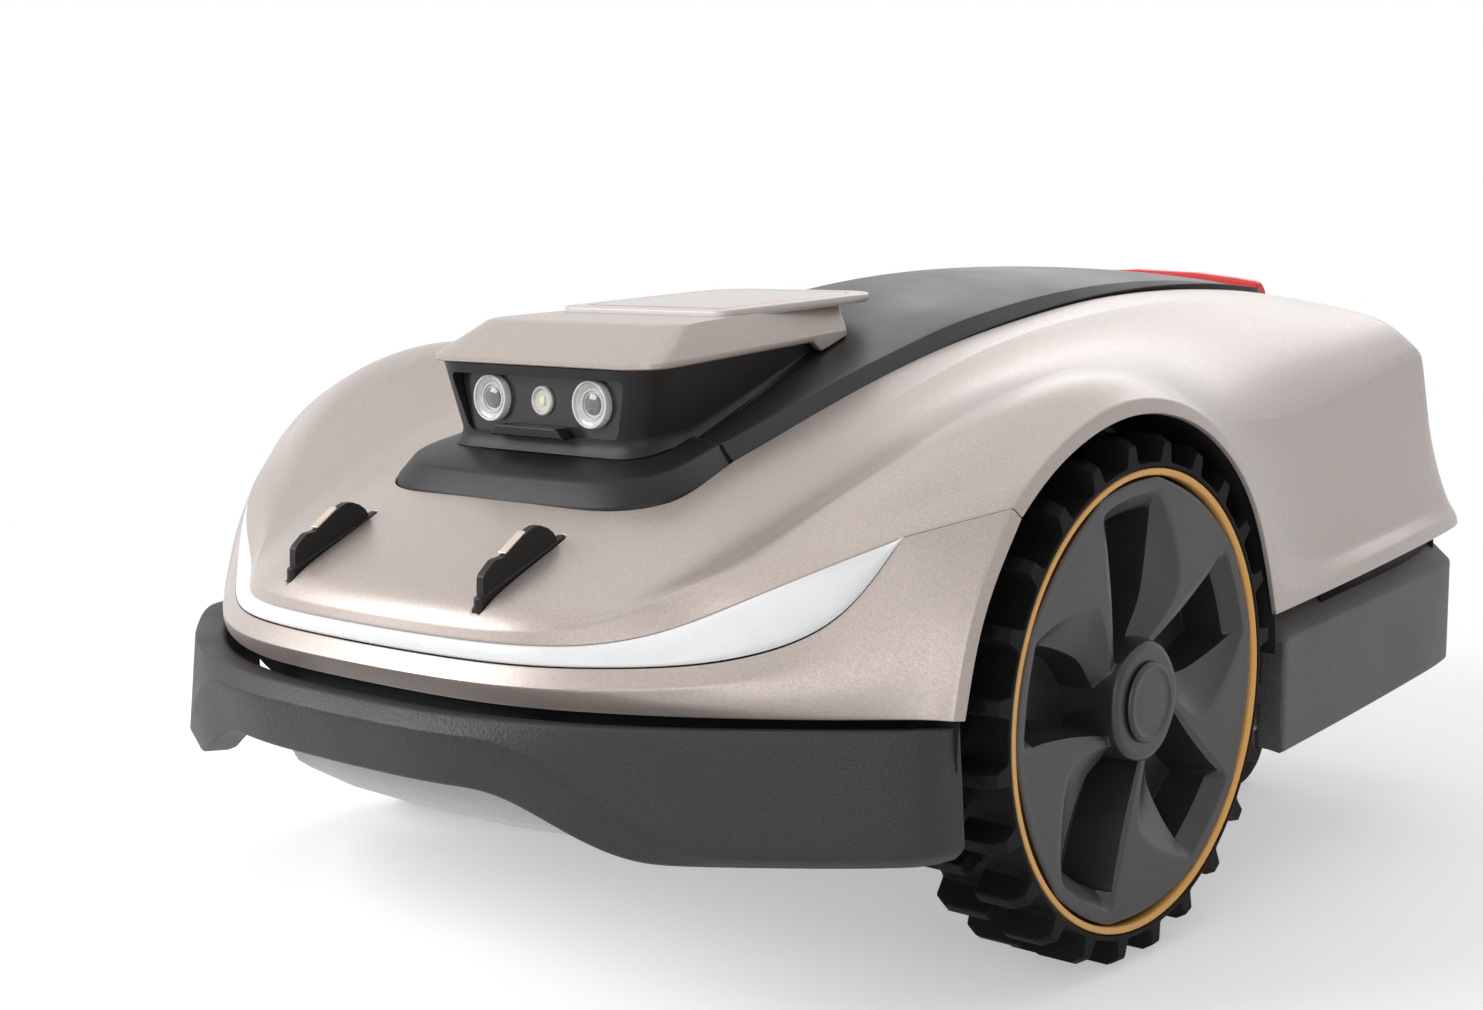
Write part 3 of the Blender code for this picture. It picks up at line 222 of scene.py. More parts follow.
def grained_plastic(name, base, roughness, grain, depth, spread=0.22, **sockets):
    """Moulded plastic with an eroded grain: grain is in cells per metre, depth in metres."""
    made = material(name, base, roughness, **sockets)
    pits = texture(made, "ShaderNodeTexNoise", Scale=grain, Detail=3.0, Roughness=0.6)
    cells = texture(made, "ShaderNodeTexVoronoi", Scale=grain * 0.8)
    wear = texture(made, "ShaderNodeTexNoise", Scale=14.0, Detail=4.0)
    shade(made, pits.outputs["Fac"], tone(base, 1 - spread), tone(base, 1 + spread), 0.35, 0.65)
    vary(made, wear.outputs["Fac"], "Roughness", roughness - 0.05, roughness + 0.06)
    relief(made, (cells.outputs["Distance"], 0.25, depth), (pits.outputs["Fac"], 0.5, depth))
    return made


def turned_metal(name, base, roughness, scratch=600.0):
    """Bare metal with fine scratches and dull patches."""
    made = material(name, base, roughness, 1.0)
    marks = texture(made, "ShaderNodeTexNoise", Scale=scratch, Detail=5.0, Distortion=1.5)
    patch = texture(made, "ShaderNodeTexNoise", Scale=40.0, Detail=2.0)
    shade(made, patch.outputs["Fac"], tone(base, 0.85), tone(base, 1.08))
    vary(made, marks.outputs["Fac"], "Roughness", roughness - 0.08, roughness + 0.12)
    relief(made, (marks.outputs["Fac"], 0.08, 0.0002))
    return made


def milky_diffuser(name, base):
    """Translucent lamp cover with a faint cloudiness."""
    made = material(
        name, base, 0.28, Subsurface_Weight=0.35, Subsurface_Radius=(0.006, 0.006, 0.006),
        Subsurface_Scale=1.0, Coat_Weight=0.3, Coat_Roughness=0.15, Emission_Strength=0.12,
        Emission_Color=(1, 1, 1, 1),
    )
    cloud = texture(made, "ShaderNodeTexNoise", Scale=60.0, Detail=2.0)
    haze = texture(made, "ShaderNodeTexNoise", Scale=900.0, Detail=1.0)
    shade(made, cloud.outputs["Fac"], tone(base, 0.96), tone(base, 1.03))
    vary(made, haze.outputs["Fac"], "Roughness", 0.24, 0.34)
    relief(made, (haze.outputs["Fac"], 0.05, 0.0001))
    return made


def dark_glass(name, base, roughness, coat=0.6):
    """Smoked cover with a wiped-on haze."""
    made = material(name, base, roughness, Coat_Weight=coat, Coat_Roughness=0.05)
    haze = texture(made, "ShaderNodeTexNoise", Scale=70.0, Detail=4.0)
    dust = texture(made, "ShaderNodeTexNoise", Scale=1600.0, Detail=2.0)
    shade(made, dust.outputs["Fac"], tone(base, 0.85), tone(base, 1.2))
    vary(made, haze.outputs["Fac"], "Roughness", roughness, roughness + 0.12)
    return made


def coated_board(name, base):
    """Circuit board: lacquer over a grid of tracks."""
    made = material(name, base, 0.45, Coat_Weight=0.4)
    tracks = texture(made, "ShaderNodeTexBrick", Scale=90.0)
    dust = texture(made, "ShaderNodeTexNoise", Scale=300.0, Detail=3.0)
    shade(made, tracks.outputs["Fac"], base, tone(base, 1.7), 0.2, 0.8)
    vary(made, dust.outputs["Fac"], "Roughness", 0.38, 0.55)
    relief(made, (tracks.outputs["Fac"], 0.2, 0.0002))
    return made


def finish(name):
    """The named finish, made the first time it is asked for."""
    known = bpy.data.materials.get(name)
    if known:
        return known
    tones = bpy.context.scene.mower_colours
    makers = {
        "champagne_paint": lambda: flake_paint(name, tones.champagne, 0.40),
        "plate_paint": lambda: grained_plastic(
            name, tones.plate, 0.38, 1400.0, 0.00002, 0.05, Coat_Weight=0.2),
        "black_satin": lambda: grained_plastic(
            name, tones.black, 0.40, 1500.0, 0.00012, Specular_IOR_Level=0.28),
        "spine_satin": lambda: grained_plastic(
            name, tones.black, 0.42, 1500.0, 0.0001, Specular_IOR_Level=0.6),
        "black_coarse": lambda: grained_plastic(
            name, tone(tones.black, 1.5), 0.52, 1000.0, 0.0004, Specular_IOR_Level=0.35),
        "bumper_grain": lambda: grained_plastic(
            name, tones.bumper, 0.48, 700.0, 0.0006, 0.30, Specular_IOR_Level=0.45),
        "wheel_satin": lambda: grained_plastic(
            name, tones.wheel, 0.32, 1300.0, 0.0001, 0.14, Specular_IOR_Level=0.55),
        "tread_rubber": lambda: grained_plastic(
            name, tones.rubber, 0.62, 700.0, 0.0003, 0.3, Specular_IOR_Level=0.12),
        "belly_plastic": lambda: grained_plastic(name, tones.belly, 0.60, 1100.0, 0.0003, 0.08),
        "skirt_grain": lambda: grained_plastic(
            name, tone(tones.bumper, 7.0), 0.50, 900.0, 0.0003, Specular_IOR_Level=0.45),
        "inner_plastic": lambda: grained_plastic(
            name, tone(tones.bumper, 0.5), 0.6, 900.0, 0.0003, Specular_IOR_Level=0.3),
        # A darker, duller copy of the black plastic for the arch liners and the seam curtains: the liners' own
        # black with painted shade on top, and only painted shade in the curtains.
        "black_and_painted_shade": lambda: grained_plastic(
            name, tone(tones.black, 0.7), 0.6, 800.0, 0.0003, Specular_IOR_Level=0.15),
        "ring_lacquer": lambda: grained_plastic(name, tones.ring, 0.36, 900.0, 0.0001, 0.06),
        "stop_red": lambda: grained_plastic(name, tones.stop, 0.34, 1200.0, 0.0001, 0.08),
        "battery_wrap": lambda: grained_plastic(name, (0.05, 0.09, 0.2), 0.42, 500.0, 0.0002, 0.12),
        "lamp_shell": lambda: grained_plastic(name, (0.80, 0.80, 0.78), 0.35, 900.0, 0.0001, 0.05),
        "lens_grey": lambda: dark_glass(name, (0.60, 0.59, 0.58), 0.16),
        "lens_glass": lambda: dark_glass(name, (0.16, 0.155, 0.15), 0.06),
        "smoked_glass": lambda: dark_glass(name, (0.022, 0.020, 0.019), 0.16, 0.1),
        "led_chip": lambda: grained_plastic(name, (0.85, 0.78, 0.50), 0.40, 800.0, 0.0001, 0.1),
        "bar_milk": lambda: milky_diffuser(name, tones.milk),
        "copper_line": lambda: turned_metal(name, tones.copper, 0.30),
        "contact_plating": lambda: turned_metal(name, tones.contact, 0.26),
        "bright_steel": lambda: turned_metal(name, (0.55, 0.55, 0.56), 0.28),
        "motor_steel": lambda: turned_metal(name, (0.30, 0.30, 0.31), 0.42, 300.0),
        "board_lacquer": lambda: coated_board(name, (0.02, 0.12, 0.05)),
    }
    return makers[name]()


# Making pieces


def show(name, bm, finishes, body, *nodes, slot=None, folded=False):
    """Makes a finished piece of a mesh, riding on a body and standing for CAD nodes.

    A folded piece keeps the edges that its net marks as sharp.
    """
    mesh = bpy.data.meshes.new(name)
    for face in bm.faces:
        face.smooth = True
    bm.to_mesh(mesh)
    bm.free()
    for each in finishes:
        mesh.materials.append(finish(each))
    if not folded:
        mesh.shade_smooth()
    obj = bpy.data.objects.new(name, mesh)
    bpy.context.scene.collection.objects.link(obj)
    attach(obj, body)
    if nodes:
        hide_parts(*nodes)
    return obj


def soften(obj, width, segments=2, angle=30.0):
    """Rounds a piece's sharp edges and shades its flat faces flat."""
    bevel = obj.modifiers.new("Bevel", "BEVEL")
    bevel.width = width
    bevel.segments = segments
    bevel.limit_method = "ANGLE"
    bevel.angle_limit = math.radians(angle)
    bevel.harden_normals = False
    even(obj)


def even(obj):
    """Lets the large faces rule the shading at their edges."""
    weigh = obj.modifiers.new("Weighted Normal", "WEIGHTED_NORMAL")
    weigh.weight = 80
    weigh.keep_sharp = True


def sharpen(obj, angle=40.0):
    """Keeps folds steeper than an angle, in degrees, sharp in a piece's shading."""
    obj.data.set_sharp_from_angle(angle=math.radians(angle))


def crisp_edges(obj, angle=32.0):
    """The same, and lets the large faces rule the rest of the shading."""
    sharpen(obj, angle)
    even(obj)


# Places nearer than this are the same place.
TINY = 1e-6
# The same for the corners of a CAD node, and for the sectors of a wheel.
CAD_TINY = 2e-6
SECTOR_TINY = 2e-5
# Faces of a CAD node that turn by less than this, in degrees, are one flat face.
FLAT_TURN = 1.5


def from_object(obj):
    """A mesh of an object with its modifiers applied; the object goes."""
    bpy.context.view_layer.update()
    graph = bpy.context.evaluated_depsgraph_get()
    mesh = bpy.data.meshes.new_from_object(obj.evaluated_get(graph))
    bm = bmesh.new()
    bm.from_mesh(mesh)
    bpy.data.meshes.remove(mesh)
    bpy.data.objects.remove(obj)
    return bm


def helper(bm):
    """A passing object that holds a mesh while a modifier works on it."""
    mesh = bpy.data.meshes.new("helper")
    bm.to_mesh(mesh)
    bm.free()
    obj = bpy.data.objects.new("helper", mesh)
    bpy.context.scene.collection.objects.link(obj)
    return obj


def subdivided(bm, levels):
    cage = helper(bm)
    divide = cage.modifiers.new("Subdivision", "SUBSURF")
    divide.levels = levels
    divide.render_levels = levels
    divide.boundary_smooth = "PRESERVE_CORNERS"
    return from_object(cage)


def carved(bm, cutter):
    """A closed mesh less another."""
    whole = helper(bm)
    tool = helper(cutter)
    cut = whole.modifiers.new("Cut", "BOOLEAN")
    cut.operation = "DIFFERENCE"
    cut.solver = "EXACT"
    cut.object = tool
    left = from_object(whole)
    bpy.data.objects.remove(tool)
    return left


# A crease at least this sharp also shades as a fold.
FOLD_SHARPNESS = 0.85
# Last row or column of a crease that runs to the end of its net.
TO_END = 999


def net(rows, creases=(), middle=0, slots=None, corners=()):
    """A grid of quads through rows of points.

    A crease is (row or None, column or None, first, last, sharpness); columns count from the
    middle one. slots gives the material slot of the faces after each column, and corners the
    (row, column) places where an edge turns sharply.
    """
    across = len(rows[0]) - 1
    along = len(rows) - 1
    bm = bmesh.new()
    bmesh.ops.create_grid(bm, x_segments=across, y_segments=along, size=1.0)
    pins = bm.verts.layers.float.new("crease_vert")
    spots = {}
    for vert in bm.verts:
        spots[vert] = (round((vert.co.y + 1) / 2 * along), round((vert.co.x + 1) / 2 * across))
    layer = bm.edges.layers.float.new("crease_edge")
    for edge in bm.edges:
        (row_a, column_a), (row_b, column_b) = (spots[vert] for vert in edge.verts)
        column_a = abs(column_a - middle)
        column_b = abs(column_b - middle)
        for row, column, first, last, sharpness in creases:
            on_row = row is not None and row_a == row_b == row
            if on_row and first <= min(column_a, column_b) and max(column_a, column_b) <= last:
                edge[layer] = sharpness
                edge.smooth = sharpness < FOLD_SHARPNESS
            on_column = column is not None and column_a == column_b == column
            if on_column and first <= min(row_a, row_b) and max(row_a, row_b) <= last:
                edge[layer] = sharpness
                edge.smooth = sharpness < FOLD_SHARPNESS
    if slots:
        for face in bm.faces:
            face.material_index = slots[min(abs(spots[vert][1] - middle) for vert in face.verts)]
    for vert, (row, column) in spots.items():
        vert.co = rows[row][column]
        if (row, abs(column - middle)) in corners:
            vert[pins] = 1.0
    return bm


def flip(point):
    return Vector((-point.x, point.y, point.z))


def half_net(rows, creases=(), slots=None, corners=()):
    """The same for a symmetrical skin given by rows from its middle outwards."""
    whole = [[flip(point) for point in reversed(row[1:])] + row for row in rows]
    return net(whole, creases, len(rows[0]) - 1, slots, corners)


def face_away(bm, inside):
    """Turns an open skin's faces away from a place inside it."""
    bm.normal_update()
    bulge = sum(
        face.normal.dot(face.calc_center_median() - inside) * face.calc_area() for face in bm.faces
    )
    if bulge < 0:
        bmesh.ops.reverse_faces(bm, faces=bm.faces)


def lip(bm, radius, wall):
    """Rounds the open edges of a skin over and turns them in by a wall."""
    bm.normal_update()
    rim = [edge for edge in bm.edges if edge.is_boundary]
    away = {}
    for edge in rim:
        first, second = edge.verts
        along = (second.co - first.co).normalized()
        out = (first.co + second.co) / 2 - edge.link_faces[0].calc_center_median()
        out = (out - along * out.dot(along)).normalized()
        for vert in edge.verts:
            away[vert] = away.get(vert, Vector()) + out
    root = {vert: (vert.co.copy(), vert.normal.copy(), out.normalized()) for vert, out in away.items()}
    for out_share, drop in ((0.7, 0.3 * radius), (1.0, radius), (1.0, wall)):
        made = bmesh.ops.extrude_edge_only(bm, edges=rim)["geom"]
        fresh = {item for item in made if isinstance(item, bmesh.types.BMVert)}
        for vert in fresh:
            parent = next(
                edge.other_vert(vert) for edge in vert.link_edges
                if edge.other_vert(vert) not in fresh
            )
            start, normal, out = root[parent]
            root[vert] = root[parent]
            vert.co = start + out * radius * out_share - normal * drop
        rim = [
            item for item in made if isinstance(item, bmesh.types.BMEdge) and item.is_boundary
        ]


def within(loop, x, y):
    """Whether a place lies inside a closed outline."""
    inside = False
    for (x0, y0), (x1, y1) in zip(loop, loop[1:] + loop[:1]):
        if (y0 > y) != (y1 > y) and x < (x1 - x0) * (y - y0) / (y1 - y0) + x0:
            inside = not inside
    return inside


def cut_away(bm, loop, above, margin=0.012):
    """Opens a skin along an upright outline."""
    for (x0, y0), (x1, y1) in zip(loop, loop[1:] + loop[:1]):
        near = [
            face for face in bm.faces if any(
                min(x0, x1) - margin < vert.co.x < max(x0, x1) + margin
                and min(y0, y1) - margin < vert.co.y < max(y0, y1) + margin
                and vert.co.z > above for vert in face.verts
            )
        ]
        items = {item for face in near for item in (face, *face.edges, *face.verts)}
        bmesh.ops.bisect_plane(
            bm, geom=list(items), dist=TINY, plane_co=(x0, y0, 0), plane_no=(y1 - y0, x0 - x1, 0)
        )
    inner = []
    for face in bm.faces:
        centre = face.calc_center_median()
        if centre.z > above and within(loop, centre.x, centre.y):
            inner.append(face)
    bmesh.ops.delete(bm, geom=inner, context="FACES")


def lathe(profile, steps, place):
    """A profile of (radius, height) turned about Z and put in its place."""
    bm = bmesh.new()
    line = [bm.verts.new((radius, 0, height)) for radius, height in profile]
    edges = [bm.edges.new(pair) for pair in zip(line, line[1:])]
    bmesh.ops.spin(
        bm, geom=line + edges, cent=(0, 0, 0), axis=(0, 0, 1), angle=2 * math.pi, steps=steps,
        use_merge=True, dvec=(0, 0, 0),
    )
    bmesh.ops.remove_doubles(bm, verts=bm.verts, dist=TINY)
    bmesh.ops.recalc_face_normals(bm, faces=bm.faces)
    bmesh.ops.transform(bm, matrix=place, verts=bm.verts)
    return bm


def prism(loop, low, high):
    """A flat outline of points in the XY plane, raised between two heights."""
    bm = bmesh.new()
    base = bm.faces.new([bm.verts.new((x, y, low)) for x, y in loop])
    grown = bmesh.ops.extrude_face_region(bm, geom=[base])["geom"]
    lifted = [item for item in grown if isinstance(item, bmesh.types.BMVert)]
    bmesh.ops.translate(bm, vec=(0, 0, high - low), verts=lifted)
    bmesh.ops.recalc_face_normals(bm, faces=bm.faces)
    return bm


def joined(*meshes):
    """Several meshes as one."""
    whole = bmesh.new()
    for bm in meshes:
        passing = bpy.data.meshes.new("passing")
        bm.to_mesh(passing)
        bm.free()
        whole.from_mesh(passing)
        bpy.data.meshes.remove(passing)
    return whole


def closed_net(rows, creases=()):
    """A net whose first and last columns meet, with its two ends filled."""
    bm = net(rows, creases)
    bmesh.ops.remove_doubles(bm, verts=bm.verts, dist=TINY)
    open_ends = [edge for edge in bm.edges if edge.is_boundary]
    if open_ends:
        bmesh.ops.holes_fill(bm, edges=open_ends, sides=0)
    bmesh.ops.recalc_face_normals(bm, faces=bm.faces)
    return bm


def swept(line, section, creases=()):
    """A section of (outward, height) points swept along a level line that runs anticlockwise."""
    rows = []
    for i, point in enumerate(line):
        along = line[min(i + 1, len(line) - 1)] - line[max(i - 1, 0)]
        out = Vector((along.y, -along.x, 0)).normalized()
        rows.append([
            Vector((point.x + out.x * away, point.y + out.y * away, height))
            for away, height in section(point)
        ])
    return closed_net(rows, creases)


def refined(node, name, finishes, body, width, slot=None):
    """A merged copy of a CAD node with rounded edges, in its place."""
    bm = bmesh.new()
    bm.from_mesh(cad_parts[node].data)
    bmesh.ops.remove_doubles(bm, verts=bm.verts, dist=CAD_TINY)
    bmesh.ops.dissolve_limit(
        bm, angle_limit=math.radians(FLAT_TURN), verts=bm.verts, edges=bm.edges, delimit=set()
    )
    for face in bm.faces:
        face.material_index = 0
    obj = show(name, bm, finishes, body, node, slot=slot)
    soften(obj, width)
    return obj


def rounded(corners, steps=6):
    """A closed outline of (x, y, radius) corners with its corners rounded."""
    line = []
    count = len(corners)
    for i, (x, y, radius) in enumerate(corners):
        here = Vector((x, y))
        before = Vector(corners[i - 1][:2]) - here
        after = Vector(corners[(i + 1) % count][:2]) - here
        reach = radius / math.tan(before.angle(after) / 2)
        start = here + before.normalized() * reach
        end = here + after.normalized() * reach
        for step in range(steps + 1):
            t = step / steps
            point = start * (1 - t) ** 2 + here * 2 * t * (1 - t) + end * t * t
            line.append((point.x, point.y))
    return line


def smooth(points, steps):
    """A Catmull-Rom line through the points."""
    points = [Vector(point) for point in points]
    ends = [2 * points[0] - points[1], *points, 2 * points[-1] - points[-2]]
    line = []
    for a, b, c, d in zip(ends, ends[1:], ends[2:], ends[3:]):
        for step in range(steps):
            t = step / steps
            line.append(
                b + (c - a) * t / 2 + (2 * a - 5 * b + 4 * c - d) * t * t / 2
                + (3 * b - a - 3 * c + d) * t ** 3 / 2
            )
    line.append(points[-1])
    return line


def ease(value, start, end):
    share = min(1.0, max(0.0, (value - start) / (end - start)))
    return share * share * (3 - 2 * share)


def between(value, table):
    """A value read off a table of (place, value) pairs."""
    if value <= table[0][0]:
        return table[0][1]
    for (x0, y0), (x1, y1) in zip(table, table[1:]):
        if value <= x1:
            return y0 + (y1 - y0) * (value - x0) / (x1 - x0)
    return table[-1][1]


# Painted shells. Feature lines are in millimetres, row by row from the front edge to the rear
# hem; each row runs from the middle over spine edge, shoulder, valley, ridge, belt, side and flare.

INSIDE = Vector((0, 0, 0.1))
ARCH_RADIUS = TYRE_RADIUS + 0.0145
ARCH_Y = WHEEL_AT.y - 0.008
ARCH_Z = WHEEL_AT.z - 0.002
# How far the band round the arch leans in, in millimetres, and the band along the hem, in metres.
ARCH_LEAN = 1.6
HEM_LEAN = 0.0012


def mm(x, y, z):
    return Vector((x * MM, y * MM, z * MM))


def arch(angle, x, out=0.0):
    """A place on the wheel arch, its angle in degrees up from the rear, or outside it."""
    turn = math.radians(angle)
    radius = ARCH_RADIUS + out
    return Vector((x * MM, ARCH_Y + radius * math.cos(turn), ARCH_Z + radius * math.sin(turn)))


def arch_band(angle, x, band):
    """The fold beside the arch and the arch's edge."""
    return [arch(angle, x - ARCH_LEAN, band), arch(angle, x)]


HOOD_LINES = [
    [(0, -342.5, 174), (60, -339.5, 174), (97, -331, 174), (124, -315, 174.6), (149, -292.2, 180.5),
     (182.5, -273.2, 198.1), (209.9, -249.2, 213.2), (228.4, -224.7, 223.7)],
    [(0, -341, 179), (60, -338.5, 179), (97, -330, 179.3), (123, -312.5, 181.5), (148.3, -285.4, 197.4),
     (180, -264.5, 209), (207.8, -241.4, 220), (227.4, -218.2, 230)],
    [(0, -334.5, 190.5), (63, -332, 190.5), (98, -323, 189.5), (127, -303, 188), (157, -266, 206.5),
     (183.6, -250, 218.1), (208.1, -230.9, 227.7), (229.8, -207.9, 236.9)],
    [(0, -300, 207.5), (72, -294, 207), (110, -284, 204), (141, -268, 200), (168, -248, 216.5),
     (191.3, -231.5, 232.3), (213.5, -212, 243.9), (236, -190, 250.5)],
    [(0, -256, 228.5), (86, -247, 230), (118, -230, 228), (156, -222, 221.5), (186, -218, 238),
     (204, -203, 253), (223, -180, 263), (244, -160, 267)],
    [(0, -185, 246), (98, -180, 246.5), (123, -170, 245.5), (166, -168, 241), (205, -172, 264.5),
     (220, -152, 275), (237, -137, 280), (252, -126, 278.5)],
    [(0, -98, 272), (98, -98, 272.5), (125, -97, 271.8), (158, -98, 263), (214, -104, 287.5),
     (231, -94, 291.5), (245, -84, 290.5), (256, -80, 285)],
    [(0, -12, 294), (98, -12, 294.5), (121, -8, 295.5), (151, -12, 284.5), (209, -24, 293),
     (231, -33, 289.5), (247, -36, 283.5), (257, -37, 277)],
    [(0, 62, 306.5), (98, 62, 307), (123, 63, 306.8), (153, 57, 294), (204, 38, 287), (230, 17, 272),
     (246, 8, 262), (256, 5, 256)],
    [(0, 130, 316.5), (98, 130, 317), (127, 130, 314), (156, 124, 299), (202, 100, 276.5),
     (228, 72, 252), (244, 50, 236), (254, 42, 224)],
    [(0, 190, 320.5), (98, 190, 321), (130, 190, 317), (159, 188, 302.5), (197, 176, 283),
     (223, 150, 253), (237, 113, 206), (247, 88, 170)],
    [(0, 250, 321.5), (98, 250, 322), (133, 250, 317), (162, 248, 304), (193, 242, 289),
     (218, 230, 264), (231, 205, 213), (244, 180, 176)],
    [(0, 305, 320), (98, 305, 320.5), (137, 304, 314), (164, 304, 304.5), (189, 302, 296),
     (214, 300, 274), (225, 292, 220), (239, 285, 184)],
    [(0, 346, 315), (98, 345, 319), (143, 344, 310.5), (167, 344, 305.5), (190, 343, 300),
     (212.5, 342, 280.5), (222, 339, 225), (235, 338, 187)],
    [(0, 358, 290), (97, 357.5, 292), (138, 357, 288), (163, 356.5, 283), (185, 356, 276),
     (207, 354.5, 256), (217, 352, 219), (229, 350, 187)],
    [(0, 363, 178), (92, 362, 178), (112, 361, 178), (145, 359, 177.5), (178, 357, 177),
     (200, 355, 176.5), (214, 354, 176), (226, 353, 175.5)],
]
# The arch's edge beside each row, as (angle, x), then the hem's corners.
HOOD_ARCH = [(134.5, 262.5), (130, 263), (125.5, 263.5), (119, 264), (110, 265), (100, 265.5),
             (88, 266), (72, 266), (54, 265.5), (35, 265), (11, 262)]
HOOD_HEM = [(258, 156, 162), (250.5, 278, 171), (243, 335, 174), (238, 347, 174.5), (233, 352, 175)]
HOOD_CREASES = [
    (1, None, 0, 4, 0.75), (None, 4, 1, 7, 0.75), (None, 5, 9, 13, 0.9), (None, 7, 10, 13, 0.9),
    (None, 2, 4, 13, 0.85), (None, 8, 0, 10, 0.8), (None, 8, 11, 13, 0.5),
    (13, None, 2, 6, 0.6),
]
HOOD_CORNERS = [(0, 7), (10, 9)]
FASCIA_CORNERS = [(3, 7)]
FASCIA_LINES = [
    [(0, -341, 146), (60, -339, 146), (97, -332, 146), (127, -320, 146), (162, -301.5, 146),
     (194, -280, 146), (225, -255, 146), (247, -236.5, 146.5)],
    [(0, -343.5, 150), (60, -341.3, 150), (98, -334, 150), (129, -322, 150.3), (164, -302.5, 151),
     (195, -280.5, 154), (227, -253.5, 158), (249, -233, 166)],
    [(0, -348.5, 156), (60, -346, 156), (98, -338.3, 156), (129, -324.8, 156.5),
     (163.5, -303.5, 158.5), (192, -279.5, 163), (224, -252, 172), (246, -228, 188)],
    [(0, -343, 164), (60, -340.5, 164), (98, -333, 164), (127, -320, 164.7), (158, -299, 166),
     (184, -278, 170), (216, -252, 184), (228.4, -225.5, 222.4)],
]
FASCIA_ARCH = [(172.8, 262.5), (160, 262.5), (149, 262.5), (135.1, 262.5)]
FASCIA_CREASES = [(2, None, 0, 3, 0.85), (2, None, 3, 5, 0.6), (None, 8, 0, 3, 0.8)]
SHELL_LEVELS = 3

# Light bar: the column of its tip, its measures, and its section as shares of height and bulge.
BAR_TIP = 7
BAR_BULGE = 0.001
BAR_DEPTH = 0.004
BAR_WALL = 0.0012
BAR_MOST_GAP = 0.45
BAR_FACING = 0.6
BAR_SECTION = [(0.25, 0.8), (0.5, 1.0), (0.75, 0.8)]

# Arch liners: (x, rise) in millimetres and metres across, turned from the front foot to the rear.
LINER_ACROSS = [(260, -0.0006), (245, 0.0), (225, 0.0), (203, 0.0)]
LINER_START = 186
LINER_SWEEP = 184
LINER_STEPS = 24
LINER_GAP = 0.0012
LINER_WALL = 0.0012
LINER_BACK = Vector((0.22, WHEEL_AT.y, 0.6))

# Dark curtains behind the seams that stand in as painted shade for the shaded inside; each is given as inset, low
# and high edge.
CURTAIN_WALL = 0.0015
NOSE_CURTAIN = (0.016, 0.131, 0.156)
TAIL_CURTAIN = (0.018, 0.145, 0.178)

# The turret base, with half of its outline, and the spine behind it.
SPINE_HALF = 0.0945
SPINE_TURN = 0.0075
DECK_Y = -0.185
DECK_Z = 0.2525
DECK_SLOPE = 0.295
BASE_NOSE_Y = -0.258
BASE_NOSE_Z = 0.235
# Where the gap round the base has its full width at the side, and where it ends at the front.
BASE_SIDE_X = 0.08
BASE_FRONT_Y = -0.2
SPINE_REAR_Y = 0.345
STOP_NOTCH_Y = SPINE_REAR_Y - 0.004
STOP_NOTCH_Z = 0.297
BEHIND_HOOD = 0.4
# Cuts from above leave alone what lies below these heights.
OPENING_ABOVE = 0.18
FIN_SLOT_ABOVE = 0.16
BASE_HALF_OUTLINE = smooth([
    (0.0, BASE_NOSE_Y), (0.050, BASE_NOSE_Y + 0.0015), (0.072, BASE_NOSE_Y + 0.005),
    (0.087, BASE_NOSE_Y + 0.0125), (0.097, BASE_NOSE_Y + 0.024), (0.0995, BASE_NOSE_Y + 0.037),
    (0.098, BASE_NOSE_Y + 0.052), (SPINE_HALF, DECK_Y),
], 3)

# Charging fins
FIN_X = 0.068
FIN_THICK = 0.0055
FIN_FRONT_Y = -0.332
FIN_LENGTH = 0.050
FIN_SLOPE = 0.434
FIN_SLOT_FRONT = FIN_FRONT_Y + 0.0005
FIN_SLOT_REAR = FIN_FRONT_Y + FIN_LENGTH + 0.0056
FIN_SLOT_ROUND = 0.98
HOOD_PANEL_Y = -0.3345
HOOD_PANEL_Z = 0.189


def hood_panel(y):
    """Height of the hood's front panel beside the fins."""
    return HOOD_PANEL_Z + FIN_SLOPE * (y - HOOD_PANEL_Y)


def fin_slot(middle, grow):
    """Outline of the round-ended slot that a fin stands in."""
    half = FIN_THICK / 2 + grow
    corner = half * FIN_SLOT_ROUND
    front = FIN_SLOT_FRONT - grow
    rear = FIN_SLOT_REAR + grow
    return [(middle + x, y) for x, y in rounded([
        (-half, front, corner), (half, front, corner), (half, rear, corner), (-half, rear, corner),
    ], 4)]


def hood_rows(band):
    """The hood's feature rows, with the fold beside the arch and the arch's edge added."""
    rows = []
    for i, line in enumerate(HOOD_LINES):
        row = [mm(*point) for point in line]
        if i < len(HOOD_ARCH):
            row += arch_band(*HOOD_ARCH[i], band)
        else:
            hem = mm(*HOOD_HEM[i - len(HOOD_ARCH)])
            row += [hem + Vector((-HEM_LEAN, 0, band)), hem]
        rows.append(row)
    return rows


def fascia_rows(band):
    rows = []
    for line, (angle, x) in zip(FASCIA_LINES, FASCIA_ARCH):
        rows.append([mm(*point) for point in line] + arch_band(angle, x, band))
    return rows


def skin_edge(bm, tip):
    """The open edge of a skin from its middle to the corner at the light bar's tip."""
    here = min(bm.verts, key=lambda vert: (vert.co - tip).length)
    line = [here.co.copy()]
    seen = {here}
    while here.co.x > TINY:
        ahead = [
            edge.other_vert(here) for edge in here.link_edges
            if edge.is_boundary and edge.other_vert(here) not in seen
        ]
        here = min(ahead, key=lambda vert: vert.co.x)
        seen.add(here)
        line.append(here.co.copy())
    return line[::-1]


